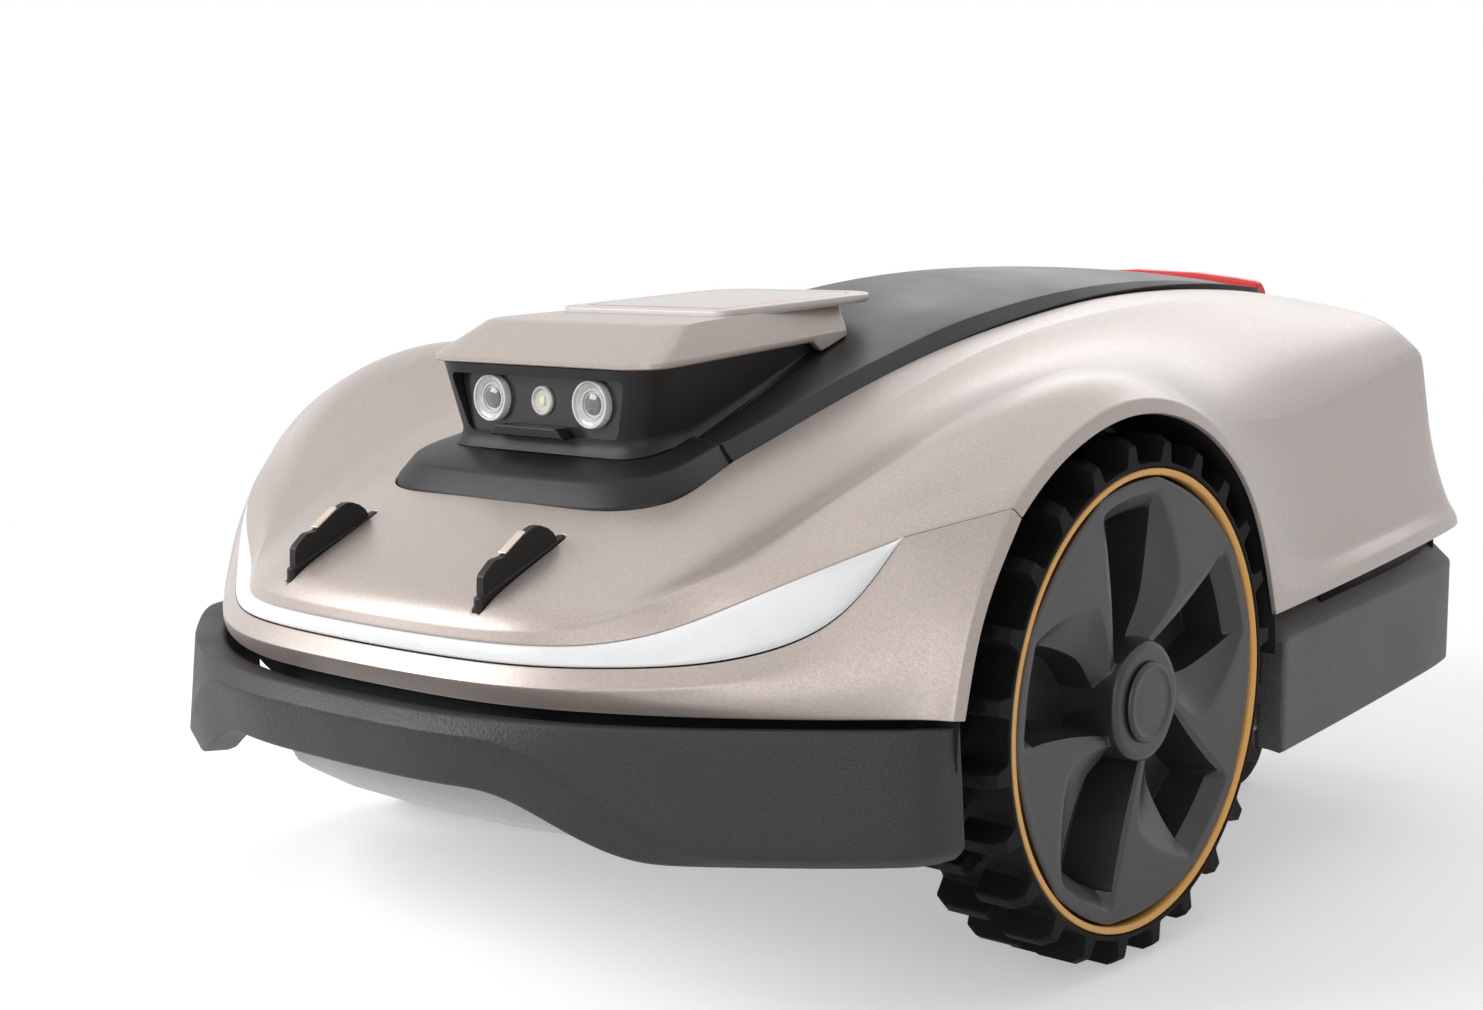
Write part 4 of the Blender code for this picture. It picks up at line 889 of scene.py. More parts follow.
def arch_liner(side):
    """Dark liner of a wheel arch, in the darker copy of the black plastic: partly its own black, partly painted
    shade.
    """
    rows = []
    for step in range(LINER_STEPS + 1):
        angle = LINER_START - LINER_SWEEP * step / LINER_STEPS
        rows.append([arch(angle, side * x, LINER_GAP + rise) for x, rise in LINER_ACROSS])
    liner = net(rows)
    face_away(liner, LINER_BACK if side > 0 else flip(LINER_BACK))
    return liner


def curtain(line, inset, low, high):
    """A thin dark wall behind a seam, which hides the inside: painted shade where the inside lies in shade."""
    outer = -inset
    inner = outer - CURTAIN_WALL
    return swept(line, lambda point: [
        (inner, low), (outer, low), (outer, high), (inner, high), (inner, low),
    ])


def opening(sizes):
    """The hood's opening round the turret base and the spine."""
    gap = sizes.seam + sizes.edge
    half = []
    for place in BASE_HALF_OUTLINE:
        aside = gap * min(1.0, place.x / BASE_SIDE_X)
        ahead = gap * (place.y < BASE_FRONT_Y)
        half.append((place.x + aside, place.y - ahead))
    half += [(SPINE_HALF + gap, SPINE_REAR_Y + gap)]
    return half + [(-x, y) for x, y in reversed(half) if x > TINY]


class MOWER_OT_hood(bpy.types.Operator):
    """Painted hood, front fascia and the light bar between them"""

    bl_idname = "mower.hood"
    bl_label = "Hood, fascia and light bar"

    def hood(self, sizes):
        """Makes the hood and gives its edge along the light bar."""
        rows = hood_rows(sizes.arch_band)
        hood = subdivided(half_net(rows, HOOD_CREASES, corners=HOOD_CORNERS), SHELL_LEVELS)
        face_away(hood, INSIDE)
        bar_high = skin_edge(hood, rows[0][BAR_TIP])
        cut_away(hood, opening(sizes), OPENING_ABOVE)
        bmesh.ops.bisect_plane(
            hood, geom=hood.verts[:] + hood.edges[:] + hood.faces[:], plane_co=(0, 0, STOP_NOTCH_Z),
            plane_no=(0, 0, 1),
        )
        notch = SPINE_HALF + 2 * sizes.seam + sizes.edge
        cut_away(hood, [
            (notch, STOP_NOTCH_Y), (notch, BEHIND_HOOD), (-notch, BEHIND_HOOD), (-notch, STOP_NOTCH_Y),
        ], STOP_NOTCH_Z)
        for middle in (FIN_X, -FIN_X):
            cut_away(hood, fin_slot(middle, sizes.seam + sizes.edge), FIN_SLOT_ABOVE)
        lip(hood, sizes.edge, sizes.wall)
        even(show("hood_panel", hood, ["champagne_paint"], "body", "hood_shell",
                  slot="champagne_shell", folded=True))
        return bar_high

    def fascia(self, sizes):
        """Makes the fascia and gives its edge along the light bar."""
        rows = fascia_rows(sizes.arch_band)
        fascia = subdivided(half_net(rows, FASCIA_CREASES, corners=FASCIA_CORNERS), SHELL_LEVELS)
        face_away(fascia, INSIDE)
        bar_low = skin_edge(fascia, rows[-1][BAR_TIP])
        lip(fascia, sizes.edge, sizes.wall)
        even(show("fascia_panel", fascia, ["champagne_paint"], "body", "front_fascia",
                  slot="champagne_shell", folded=True))
        return bar_low

    def liners(self):
        for name, side in (("left", 1), ("right", -1)):
            liner = show("arch_liner_" + name, arch_liner(side), ["black_and_painted_shade"], "body",
                         slot="black_plastic")
            wall = liner.modifiers.new("Solidify", "SOLIDIFY")
            wall.thickness = LINER_WALL
        # Curtains behind the nose and tail seams, in the darker black: painted shade of the inside.
        nose = smooth([mm(*point) for point in FASCIA_LINES[0]], 3)
        nose = [flip(point) for point in reversed(nose[1:])] + nose
        tail = smooth([mm(*point) for point in HOOD_LINES[-1] + HOOD_HEM[::-1]], 2)
        tail = tail[::-1] + [flip(point) for point in tail[1:]]
        for name, line, sizes in (("nose_shade_curtain", nose, NOSE_CURTAIN), ("tail_shade_curtain", tail, TAIL_CURTAIN)):
            show(name, curtain(line, *sizes), ["black_and_painted_shade"], "body", slot="black_plastic")

    def light_bar(self, seam, bar_low, bar_high):
        """Fills the gap between the two edges with a bulging diffuser."""
        bar = []
        for low, high in zip(bar_low, bar_high):
            rise = high - low
            gap = min(2 * seam, BAR_MOST_GAP * rise.length)
            out = Vector((low.x * BAR_FACING, low.y, 0)).normalized()
            low = low + rise.normalized() * gap
            high = high - rise.normalized() * gap
            face = [low.lerp(high, share) + out * BAR_BULGE * bulge for share, bulge in BAR_SECTION]
            bar.append([low - out * BAR_DEPTH, low, *face, high, high - out * BAR_DEPTH])
        ribbon = [list(column) for column in zip(*bar)]
        light = subdivided(half_net(ribbon, [(1, None, 0, TO_END, 0.8), (5, None, 0, TO_END, 0.8)]), 1)
        face_away(light, INSIDE)
        bmesh.ops.solidify(light, geom=light.faces[:], thickness=BAR_WALL)
        bmesh.ops.recalc_face_normals(light, faces=light.faces)
        even(show("bar_diffuser", light, ["bar_milk"], "body", "light_bar", slot="light_diffuser"))

    def execute(self, context):
        sizes = context.scene.mower_shells
        bar_high = self.hood(sizes)
        bar_low = self.fascia(sizes)
        self.liners()
        self.light_bar(sizes.seam, bar_low, bar_high)
        return {"FINISHED"}


def deck_height(y):
    """Height of the sloping seat that the turret stands on."""
    if y < DECK_Y:
        share = (y - BASE_NOSE_Y) / (DECK_Y - BASE_NOSE_Y)
        return BASE_NOSE_Z + (DECK_Z - BASE_NOSE_Z) * share
    return DECK_Z + DECK_SLOPE * (y - DECK_Y)


# Each station of the spine is (y, edge height, crown height).
SPINE_STATIONS = [
    (DECK_Y + 0.0004, DECK_Z, DECK_Z),
    (-0.150, deck_height(-0.150), deck_height(-0.150) + 0.0015),
    (-0.110, deck_height(-0.110), deck_height(-0.110) + 0.006),
    (-0.070, deck_height(-0.070), deck_height(-0.070) + 0.0095),
    (-0.035, 0.2950, 0.3055),
    (0.0, 0.3045, 0.3165),
    (0.060, 0.315, 0.3285),
    (0.130, 0.3232, 0.334),
    (0.200, 0.3265, 0.335),
    (0.260, 0.3258, 0.333),
    (0.302, 0.3235, 0.3305),
    (SPINE_REAR_Y, 0.319, 0.3275),
]
SPINE_CROWN = 2.2


def seat_height(x, y):
    """Height of the base and of the crowned spine behind it."""
    if y < DECK_Y:
        return deck_height(y)
    edge = between(y, [(at, low) for at, low, _ in SPINE_STATIONS])
    crown = between(y, [(at, high) for at, _, high in SPINE_STATIONS])
    share = min(1.0, abs(x) / (SPINE_HALF - SPINE_TURN))
    return edge + (crown - edge) * (1 - share ** SPINE_CROWN)


class MOWER_OT_spine(bpy.types.Operator):
    """Black roof spine with its steep side strips, and the stop key behind it"""

    bl_idname = "mower.spine"
    bl_label = "Spine and stop key"

    def execute(self, context):
        sizes = context.scene.mower_shells
        rows = []
        for y, edge, crown in SPINE_STATIONS:
            strip = sizes.spine_strip * min(1.0, (SPINE_REAR_Y + 0.02 - y) / 0.335)
            turn = SPINE_HALF - SPINE_TURN
            row = [
                Vector((turn * share, y, edge + (crown - edge) * (1 - share ** SPINE_CROWN)))
                for share in (0.0, 0.25, 0.5, 0.75, 0.93, 1.0)
            ]
            row.append(Vector((SPINE_HALF - 0.0006, y, edge - strip + 0.0012)))
            rows.append(row)
        spine = subdivided(half_net(rows, [(None, 5, 0, TO_END, 0.85)], [0, 0, 0, 0, 0, 1, 1]), 2)
        face_away(spine, Vector((0, 0.1, 0.1)))
        lip(spine, 0.0006, 0.007)
        even(show("spine_cover", spine, ["spine_satin", "black_coarse"], "body", "spine_panel",
                  slot="black_plastic"))

        low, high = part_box("stop_button")
        rows = []
        for share in (-1.0, -0.97, -0.8, -0.5, 0.0, 0.5, 0.8, 0.97, 1.0):
            top = high.z - 0.0075 * share * share - 0.0008 * (abs(share) == 1.0)
            x = share * high.x
            rows.append([Vector((x, y, z)) for y, z in (
                (low.y, low.z), (high.y, low.z), (high.y, top - 0.011), (high.y - 0.0008, top - 0.0076),
                (high.y - 0.0025, top - 0.0044), (high.y - 0.005, top - 0.0018), (high.y - 0.008, top),
                (low.y + 0.0012, top - 0.0004), (low.y, top - 0.002), (low.y, low.z),
            )])
        key = closed_net(rows)
        key = show("stop_key_bar", key, ["stop_red"], "stop_key", "stop_button", slot="red_key")
        soften(key, 0.0012, 3, 40)
        return {"FINISHED"}


# Turret
HOUSING_HALF = 0.079
HOUSING_FRONT_Y = -0.231
HOUSING_TOP = 0.289
HOUSING_REAR_HALF = 0.0495
HOUSING_REAR_Y = -0.052
HOUSING_TAPER = 0.009
HOUSING_FOOT = 0.004
CAP_HALF = 0.0835
CAP_REAR_HALF = 0.054
CAP_FRONT_Y = -0.232
CAP_REAR_Y = -0.042
CAP_SLOPE = 0.054
CAP_RISE = 0.0195
CAP_CHAMFER = 0.032
CAP_SIDE = 0.012
CAP_LIP = 0.0036
CAP_LEG_FRONT = -0.082
CAP_LEG_FULL = -0.070
WINDOW_HALF = 0.0625
WINDOW_LOW = 0.2535
WINDOW_HIGH = 0.2840
WINDOW_BACK = HOUSING_FRONT_Y + 0.012


def tilt(y):
    """Rise of the housing's top and of the cap towards the rear."""
    return CAP_SLOPE * (y - CAP_FRONT_Y)


def cap_top(y):
    return HOUSING_TOP + CAP_RISE + tilt(y)


def box_ring(half, rear_half, front, rear, front_radius, rear_radius, sides):
    """A closed outline of a box that narrows to the rear, with points at shares of its sides."""
    steps = 8
    line = rounded([
        (-rear_half, rear, rear_radius), (-half, front, front_radius), (half, front, front_radius),
        (rear_half, rear, rear_radius),
    ], steps)
    corners = [line[i:i + steps + 1] for i in range(0, len(line), steps + 1)]

    def side(start, end, shares):
        return [tuple(Vector(start).lerp(Vector(end), share)) for share in shares]

    ring = corners[0] + side(corners[0][-1], corners[1][0], sides) + corners[1] + corners[2]
    ring += side(corners[2][-1], corners[3][0], [1 - share for share in reversed(sides)]) + corners[3]
    return ring + ring[:1]


class MOWER_OT_turret(bpy.types.Operator):
    """Turret base, housing with its window recess, and the painted cap"""

    bl_idname = "mower.turret"
    bl_label = "Turret base, housing and cap"

    def base(self):
        half = [(p.x, p.y) for p in BASE_HALF_OUTLINE[:-1]] + [(SPINE_HALF, DECK_Y - 0.0004)]
        ring = [(-x, y) for x, y in reversed(half[1:])] + half
        rows = []
        for inset, lift in (
            (0.0, -0.020), (0.0, -0.0107), (0.0006, -0.0096), (0.0082, -0.0012), (0.0095, -0.0002),
            (0.0125, 0.0004), (0.020, 0.0018), (0.030, 0.0030), (0.045, 0.0030),
        ):
            shrink = 1 - inset / 0.1
            row = []
            for x, y in ring:
                drawn_y = y if y > DECK_Y - 0.002 else (y - DECK_Y) * shrink + DECK_Y
                row.append(Vector((x * shrink, drawn_y, deck_height(drawn_y) + lift)))
            rows.append(row)
        bm = net(rows, [(1, None, 0, TO_END, 0.5), (2, None, 0, TO_END, 0.5), (3, None, 0, TO_END, 0.5)])
        for face in bm.faces:
            face.material_index = 0
        base = subdivided(bm, 1)
        face_away(base, Vector((0, -0.2, 0.15)))
        obj = show("base_plinth", base, ["black_satin"], "body", "turret_base", slot="black_plastic")
        solid = obj.modifiers.new("Solidify", "SOLIDIFY")
        solid.thickness = 0.0025
        solid.offset = -1

    def housing(self):
        rows = []
        for share in (0.0, 0.02, 0.05, 0.09, 0.14, 0.2, 0.35, 0.6, 0.97, 1.0):
            taper = HOUSING_TAPER * (1 - share)
            foot = HOUSING_FOOT * max(0.0, 1 - share / 0.2) ** 2
            ring = box_ring(
                HOUSING_HALF - taper + foot, HOUSING_REAR_HALF + foot,
                HOUSING_FRONT_Y + taper * 0.9 - foot, HOUSING_REAR_Y, 0.021, 0.004,
                (0.1, 0.2, 0.35, 0.5, 0.65, 0.8, 0.9),
            )
            row = []
            for x, y in ring:
                low = seat_height(x, y) + 0.0003 + 0.0030 * ease(-y, -DECK_Y, -DECK_Y + 0.025)
                row.append(Vector((x, y, low + (HOUSING_TOP + tilt(y) - low) * share)))
            rows.append(row)
        shell = closed_net(rows)
        slant = 0.009
        loops = []
        for y, grow in ((-0.275, 0.006), (HOUSING_FRONT_Y - 0.006, 0.0028), (HOUSING_FRONT_Y + 0.001, 0.0),
                        (WINDOW_BACK, -0.0008)):
            outline = rounded([
                (-WINDOW_HALF + slant - grow, WINDOW_LOW - grow, 0.007),
                (WINDOW_HALF - slant + grow, WINDOW_LOW - grow, 0.007),
                (WINDOW_HALF + grow, WINDOW_HIGH + grow * 0.6, 0.004),
                (-WINDOW_HALF - grow, WINDOW_HIGH + grow * 0.6, 0.004),
            ])
            loops.append([Vector((x, y, z)) for x, z in outline + outline[:1]])
        shell = carved(shell, closed_net(loops))
        obj = show("housing_shell", shell, ["black_satin"], "body", "turret_housing",
                   slot="black_plastic")
        crisp_edges(obj, 35)

    def cap(self):
        sides = (0.05, 0.1, 0.15, 0.18, 0.2, 0.22, 0.24, 0.26, 0.28, 0.32, 0.4, 0.6, 0.8)

        def ring(inset, side_inset, front_inset, radius):
            return box_ring(
                CAP_HALF - inset - side_inset, CAP_REAR_HALF - inset - side_inset * 0.6,
                CAP_FRONT_Y + inset + front_inset, CAP_REAR_Y - inset, radius, 0.007, sides,
            )

        def foot(x, y):
            """The cap's lower edge, which drops into a leg on each side at the rear."""
            edge = HOUSING_TOP + 0.0004 + tilt(y)
            drop = ease(y, CAP_LEG_FRONT, CAP_LEG_FULL)
            return edge + (min(edge, seat_height(x, y) + 0.0006) - edge) * drop

        rows = [
            [Vector((x, y, HOUSING_TOP + 0.0004 + tilt(y))) for x, y in ring(0.012, 0, 0, 0.012)],
            [Vector((x, y, HOUSING_TOP + 0.0004 + tilt(y))) for x, y in ring(0.0038, 0, 0, 0.018)],
            [Vector((x, y, foot(x, y))) for x, y in ring(0.0034, 0, 0, 0.018)],
            [Vector((x, y, foot(x, y))) for x, y in ring(0.0008, 0, 0, 0.020)],
            [Vector((x, y, foot(x, y) + 0.0008)) for x, y in ring(0.0, 0, 0, 0.020)],
        ]
        edge = HOUSING_TOP + 0.0004
        for inset, front, rise in (
            (0.0, 0.0, CAP_LIP - 0.0004), (0.0004, 0.0009, CAP_LIP), (0.0018, 0.0048, CAP_LIP + 0.0024),
            (CAP_SIDE * 0.5, CAP_CHAMFER * 0.5, CAP_LIP + (CAP_RISE - CAP_LIP) * 0.5),
            (CAP_SIDE * 0.93, CAP_CHAMFER * 0.9, CAP_RISE - 0.0010),
            (CAP_SIDE, CAP_CHAMFER, CAP_RISE - 0.0002),
            (CAP_SIDE + 0.003, CAP_CHAMFER + 0.004, CAP_RISE),
            (CAP_SIDE + 0.030, CAP_CHAMFER + 0.030, CAP_RISE),
        ):
            radius = 0.020 - 0.004 * min(1.0, inset / CAP_SIDE)
            rows.append([Vector((x, y, edge + rise + tilt(y))) for x, y in ring(0, inset, front, radius)])
        shell = closed_net(rows)
        obj = show("cap_shell", shell, ["champagne_paint"], "body", "turret_cap",
                   slot="champagne_shell")
        crisp_edges(obj, 50)

    def execute(self, context):
        self.base()
        self.housing()
        self.cap()
        return {"FINISHED"}


class MOWER_OT_camera_window(bpy.types.Operator):
    """Smoked plate, two camera lenses, the lamp between them and the sill block"""

    bl_idname = "mower.camera_window"
    bl_label = "Camera window"

    def execute(self, context):
        plate = rounded([
            (-WINDOW_HALF + 0.0100, WINDOW_LOW + 0.0004, 0.006),
            (WINDOW_HALF - 0.0100, WINDOW_LOW + 0.0004, 0.006),
            (WINDOW_HALF - 0.0014, WINDOW_HIGH - 0.0004, 0.0035),
            (-WINDOW_HALF + 0.0014, WINDOW_HIGH - 0.0004, 0.0035),
        ])
        bm = prism(plate, -WINDOW_BACK + 0.0004, -WINDOW_BACK + 0.0034)
        bmesh.ops.transform(bm, matrix=Z_TO_FRONT, verts=bm.verts)
        soften(show("window_plate", bm, ["smoked_glass"], "body", "camera_plate", slot="camera_black"),
               0.0004)
        for side in ("left", "right"):
            low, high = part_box("camera_lens_" + side)
            radius = (high.x - low.x) / 2
            place = Matrix.Translation(((low.x + high.x) / 2, high.y, (low.z + high.z) / 2)) @ Z_TO_FRONT
            bezel = lathe([
                (radius, 0.0), (radius, 0.0032), (radius - 0.0005, 0.0040), (radius - 0.0012, 0.0040),
                (radius - 0.0015, 0.0034), (radius - 0.0015, 0.0),
            ], 48, place)
            bowl = lathe([
                (radius - 0.0016, 0.0001), (radius - 0.0016, 0.0030), (radius - 0.0030, 0.0024),
                (radius - 0.0042, 0.0013), (radius - 0.0046, 0.0019), (radius - 0.0054, 0.0019),
                (radius - 0.0058, 0.0010), (radius - 0.0068, 0.0008), (radius - 0.0070, 0.0016),
                (radius * 0.30, 0.0022), (radius * 0.15, 0.0026), (0.0, 0.0027), (0.0, 0.0001),
            ], 48, place)
            for face in bowl.faces:
                away = face.calc_center_median() - place.translation
                across = math.hypot(away.x, away.z)
                face.material_index = 1 if across > radius * 0.45 else 2
            lens = joined(bezel, bowl)
            obj = show("lens_" + side, lens, ["lamp_shell", "lens_grey", "lens_glass"], "body",
                       "camera_lens_" + side, slot="camera_glass")
            sharpen(obj)
        low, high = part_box("camera_lamp")
        radius = (high.x - low.x) / 2
        place = Matrix.Translation(((low.x + high.x) / 2, high.y, (low.z + high.z) / 2)) @ Z_TO_FRONT
        lamp = lathe([
            (radius, 0.0), (radius, 0.0012), (radius - 0.0006, 0.0018), (radius - 0.0012, 0.0018),
            (radius - 0.0022, 0.0007), (radius * 0.4, 0.0004), (0.0, 0.0004), (0.0, 0.0),
        ], 40, place)
        chip = bmesh.new()
        bmesh.ops.create_cube(chip, size=1.0)
        bmesh.ops.scale(chip, vec=(0.0034, 0.0008, 0.0042), verts=chip.verts)
        bmesh.ops.bevel(
            chip, geom=chip.edges, offset=0.0003, affect="EDGES", segments=2, profile=0.5, material=-1
        )
        bmesh.ops.translate(chip, vec=place.translation + Vector((0, -0.0007, 0)), verts=chip.verts)
        for face in chip.faces:
            face.material_index = 1
        obj = show("lamp_reflector", joined(lamp, chip), ["lens_grey", "led_chip"], "body", "camera_lamp",
                   slot="lamp_white")
        sharpen(obj)
        sill = prism([
            (-0.031, 0.0), (0.023, 0.0), (0.0175, 0.0058), (-0.0255, 0.0058),
        ], -WINDOW_BACK + 0.0045, -HOUSING_FRONT_Y + 0.001)
        bmesh.ops.transform(
            sill, matrix=Matrix.Translation((0, 0, WINDOW_LOW - 0.0002)) @ Z_TO_FRONT, verts=sill.verts
        )
        soften(show("window_sill", sill, ["black_satin"], "body", slot="black_plastic"), 0.0012, 3)
        return {"FINISHED"}


# Control plate
PLATE_HALF = 0.060
PLATE_FRONT = -0.153
PLATE_REAR = -0.016
PLATE_THICK = 0.0034


def plate_ring(inset):
    half = PLATE_HALF - inset
    tight = max(0.005, 0.010 - inset)
    wide = max(0.008, 0.030 - inset)
    return rounded([
        (-half, PLATE_FRONT + inset, tight), (half, PLATE_FRONT + inset, tight),
        (half, PLATE_REAR - inset, wide), (-half, PLATE_REAR - inset, wide),
    ], 10)


def laid(loops, creases=()):
    """Rings of (inset, height above the cap) lying along the cap's top."""
    rows = []
    for inset, height in loops:
        ring = plate_ring(inset)
        rows.append([Vector((x, y, cap_top(y) + height)) for x, y in ring + ring[:1]])
    return closed_net(rows, creases)


class MOWER_OT_control_plate(bpy.types.Operator):
    """Tongue-shaped control plate, the copper line in it and the inset panel"""

    bl_idname = "mower.control_plate"
    bl_label = "Control plate"

    def execute(self, context):
        edge = context.scene.mower_shells.plate_edge
        top = PLATE_THICK
        tongue = laid([
            (0.004, -0.0012), (0.0012, -0.0012), (0.0002, 0.0), (0.0, 0.0008), (0.0, top - edge),
            (edge * 0.3, top - edge * 0.3), (edge, top), (0.0096, top), (0.0100, top - 0.0004),
            (0.0102, top - 0.0016), (0.0135, top - 0.0016),
        ])
        obj = show("plate_tongue", tongue, ["plate_paint"], "body", "control_frame",
                   slot="champagne_shell")
        crisp_edges(obj, 50)
        line = laid([
            (0.01045, top - 0.0014), (0.01045, top - 0.0001), (0.0107, top + 0.0001),
            (0.0114, top + 0.0001), (0.01165, top - 0.0001), (0.01165, top - 0.0014),
        ])
        obj = show("plate_line", line, ["copper_line"], "body", "accent_gasket", slot="copper_trim")
        sharpen(obj)
        panel = laid([
            (0.0121, top - 0.0014), (0.0121, top - 0.0003), (0.0125, top + 0.0001), (0.014, top + 0.0002),
            (0.030, top + 0.0003),
        ])
        obj = show("plate_inset", panel, ["plate_paint"], "body", "touch_panel", slot="pale_plastic")
        even(obj)
        return {"FINISHED"}


class MOWER_OT_fins(bpy.types.Operator):
    """Two stepped charging fins on their plinths, each with a contact strip on its ramp"""

    bl_idname = "mower.fins"
    bl_label = "Charging fins"

    def execute(self, context):
        shape = [(0.07, -0.010), (0.06, 0.004), (0.065, 0.0094), (0.09, 0.0108), (0.20, 0.0132),
                 (0.235, 0.0132), (0.30, 0.0121), (0.335, 0.0117), (0.62, 0.0153), (0.66, 0.0157),
                 (0.72, 0.0154), (0.79, 0.0139), (0.88, 0.0104), (0.95, 0.0065), (0.99, 0.0030),
                 (1.0, -0.012)]
        side_view = []
        for along, rise in shape:
            y = FIN_FRONT_Y + along * FIN_LENGTH
            side_view.append((y, hood_panel(y) + rise))
        turn = Matrix(((0, 0, 1, 0), (1, 0, 0, 0), (0, 1, 0, 0), (0, 0, 0, 1)))
        for side, middle in (("left", FIN_X), ("right", -FIN_X)):
            blade = prism(side_view, middle - FIN_THICK / 2 + 0.0004, middle + FIN_THICK / 2 - 0.0004)
            bmesh.ops.transform(blade, matrix=turn, verts=blade.verts)
            bmesh.ops.recalc_face_normals(blade, faces=blade.faces)
            rows = []
            for inset, lift in ((0.0, -0.006), (0.0, 0.0004), (0.0004, 0.0011), (0.0012, 0.0014)):
                ring = fin_slot(middle, -inset)
                rows.append([Vector((x, y, hood_panel(y) + lift)) for x, y in ring + ring[:1]])
            plinth = closed_net(rows)
            fin = show("fin_" + side, joined(blade, plinth), ["black_satin"], "body",
                       "contact_fin_" + side, slot="black_plastic")
            soften(fin, 0.0009, 3)
            refined("contact_strip_" + side, "fin_strip_" + side, ["contact_plating"], "body", 0.0003,
                    slot="contact_metal")
        return {"FINISHED"}


# Bumper and skirt
BUMPER_PLAN = [(0, -360), (62, -357), (120, -342), (168, -317), (217, -280), (246, -254), (256, -240),
               (259, -224)]
BUMPER_WALL = 0.018
BUMPER_LEDGE_Z = 0.143
BUMPER_CREASE_Z = 0.135
BUMPER_BAND_Z = 0.110
BUMPER_LOBE_Z = 0.083
SKIRT_PLAN = [(251, 92), (247, 180), (242, 265), (237, 330), (230, 353), (208, 363), (120, 365), (0, 365)]
SKIRT_WALL = 0.016
SKIRT_DEPTH = 0.075
SKIRT_CHAMFER = 0.011


def bumper_section(point):
    lobe = ease(abs(point.x), 0.085, 0.168)
    fold = ease(abs(point.x), 0.095, 0.190)
    bottom = BUMPER_BAND_Z + (BUMPER_LOBE_Z - BUMPER_BAND_Z) * lobe
    crease = BUMPER_CREASE_Z + (BUMPER_LOBE_Z + 0.006 - BUMPER_CREASE_Z) * fold
    out = 0.0055 - 0.0015 * fold
    low = -0.0015 * (1 - fold) - 0.0005 * fold
    return [
        (-BUMPER_WALL, BUMPER_LEDGE_Z - 0.002), (-BUMPER_WALL * 0.5, BUMPER_LEDGE_Z - 0.0008),
        (-0.0012, BUMPER_LEDGE_Z), (0.0, BUMPER_LEDGE_Z - 0.0006),
        (out * 0.5, (BUMPER_LEDGE_Z + crease) / 2), (out, crease),
        ((out + low) / 2, (crease + bottom) / 2), (low, bottom + 0.0012), (low - 0.0012, bottom),
        (-BUMPER_WALL, bottom), (-BUMPER_WALL, BUMPER_LEDGE_Z - 0.002),
    ]


def skirt_section(point):
    top = 0.147 + (point.y - 0.092) * 0.055
    bottom = top - SKIRT_DEPTH
    return [
        (-SKIRT_WALL, top), (-SKIRT_CHAMFER - 0.0015, top), (-SKIRT_CHAMFER, top - 0.0006),
        (-0.0006, top - SKIRT_CHAMFER), (0.0, top - SKIRT_CHAMFER - 0.0015),
        (0.0, (top + bottom) / 2 - 0.004), (0.0, bottom + 0.0015), (-0.0015, bottom),
        (-SKIRT_WALL, bottom), (-SKIRT_WALL, top),
    ]


class MOWER_OT_bumper(bpy.types.Operator):
    """Front bumper with its two lobes, and the rear skirt"""

    bl_idname = "mower.bumper"
    bl_label = "Bumper and skirt"

    def execute(self, context):
        half = smooth([mm(x, y, 0) for x, y in BUMPER_PLAN], 5)
        line = [flip(point) for point in reversed(half[1:])] + half
        creases = [(None, column, 0, TO_END, sharp) for column, sharp in (
            (0, 0.9), (2, 0.6), (3, 0.6), (5, 0.75), (7, 0.6), (8, 0.6), (9, 0.9), (10, 0.9),
        )]
        creases += [(0, None, 0, TO_END, 0.8), (len(line) - 1, None, 0, TO_END, 0.8)]
        bumper = subdivided(swept(line, bumper_section, creases), 2)
        even(show("bumper_skin", bumper, ["bumper_grain"], "bumper", "front_bumper", slot="grey_plastic"))

        half = smooth([mm(x, y, 0) for x, y in SKIRT_PLAN], 4)
        line = half + [flip(point) for point in reversed(half[:-1])]
        creases = [(None, column, 0, TO_END, sharp) for column, sharp in (
            (0, 0.9), (1, 0.6), (2, 0.6), (3, 0.6), (4, 0.6), (6, 0.6), (7, 0.6), (8, 0.9), (9, 0.9),
        )]
        creases += [(0, None, 0, TO_END, 0.8), (len(line) - 1, None, 0, TO_END, 0.8)]
        skirt = subdivided(swept(line, skirt_section, creases), 2)
        even(show("skirt_skin", skirt, ["skirt_grain"], "body", "rear_skirt", slot="grey_plastic"))
        return {"FINISHED"}


# Drive wheels, drawn from the left side: angles run clockwise from the top, heights outwards.
RIM_RADIUS = 0.1095
TYRE_WIDTH = 0.057
TREAD_SPLIT = -TYRE_WIDTH * 0.47
HUB_RADIUS = 0.034
HUB_CAP_RADIUS = 0.018
BORE = 0.0074


def polar(radius, angle, height):
    turn = math.radians(angle)
    return WHEEL_AT + Vector((height, radius * math.sin(turn), radius * math.cos(turn)))


def sector_ring(rows, count, creases=(), levels=0):
    """One sector of a wheel, given by rows of (radius, angle, height), repeated all round."""
    bm = net([[polar(*point) for point in row] for row in rows], creases)
    bmesh.ops.spin(
        bm, geom=bm.verts[:] + bm.edges[:] + bm.faces[:], cent=WHEEL_AT, axis=(1, 0, 0), dvec=(0, 0, 0),
        angle=2 * math.pi * (count - 1) / count, steps=count - 1, use_duplicate=True,
    )
    bmesh.ops.remove_doubles(bm, verts=bm.verts, dist=SECTOR_TINY)
    bmesh.ops.recalc_face_normals(bm, faces=bm.faces)
    return subdivided(bm, levels) if levels else bm


def both_sides(name, bm, finishes, node, slot, done=None):
    """The left wheel's piece, and the right wheel's, turned half round."""
    other = bm.copy()
    bmesh.ops.transform(other, matrix=HALF_TURN, verts=other.verts)
    for side, mesh in (("left", bm), ("right", other)):
        obj = show(name + side, mesh, finishes, "wheel_" + side, node + side, slot=slot)
        if done:
            done(obj)


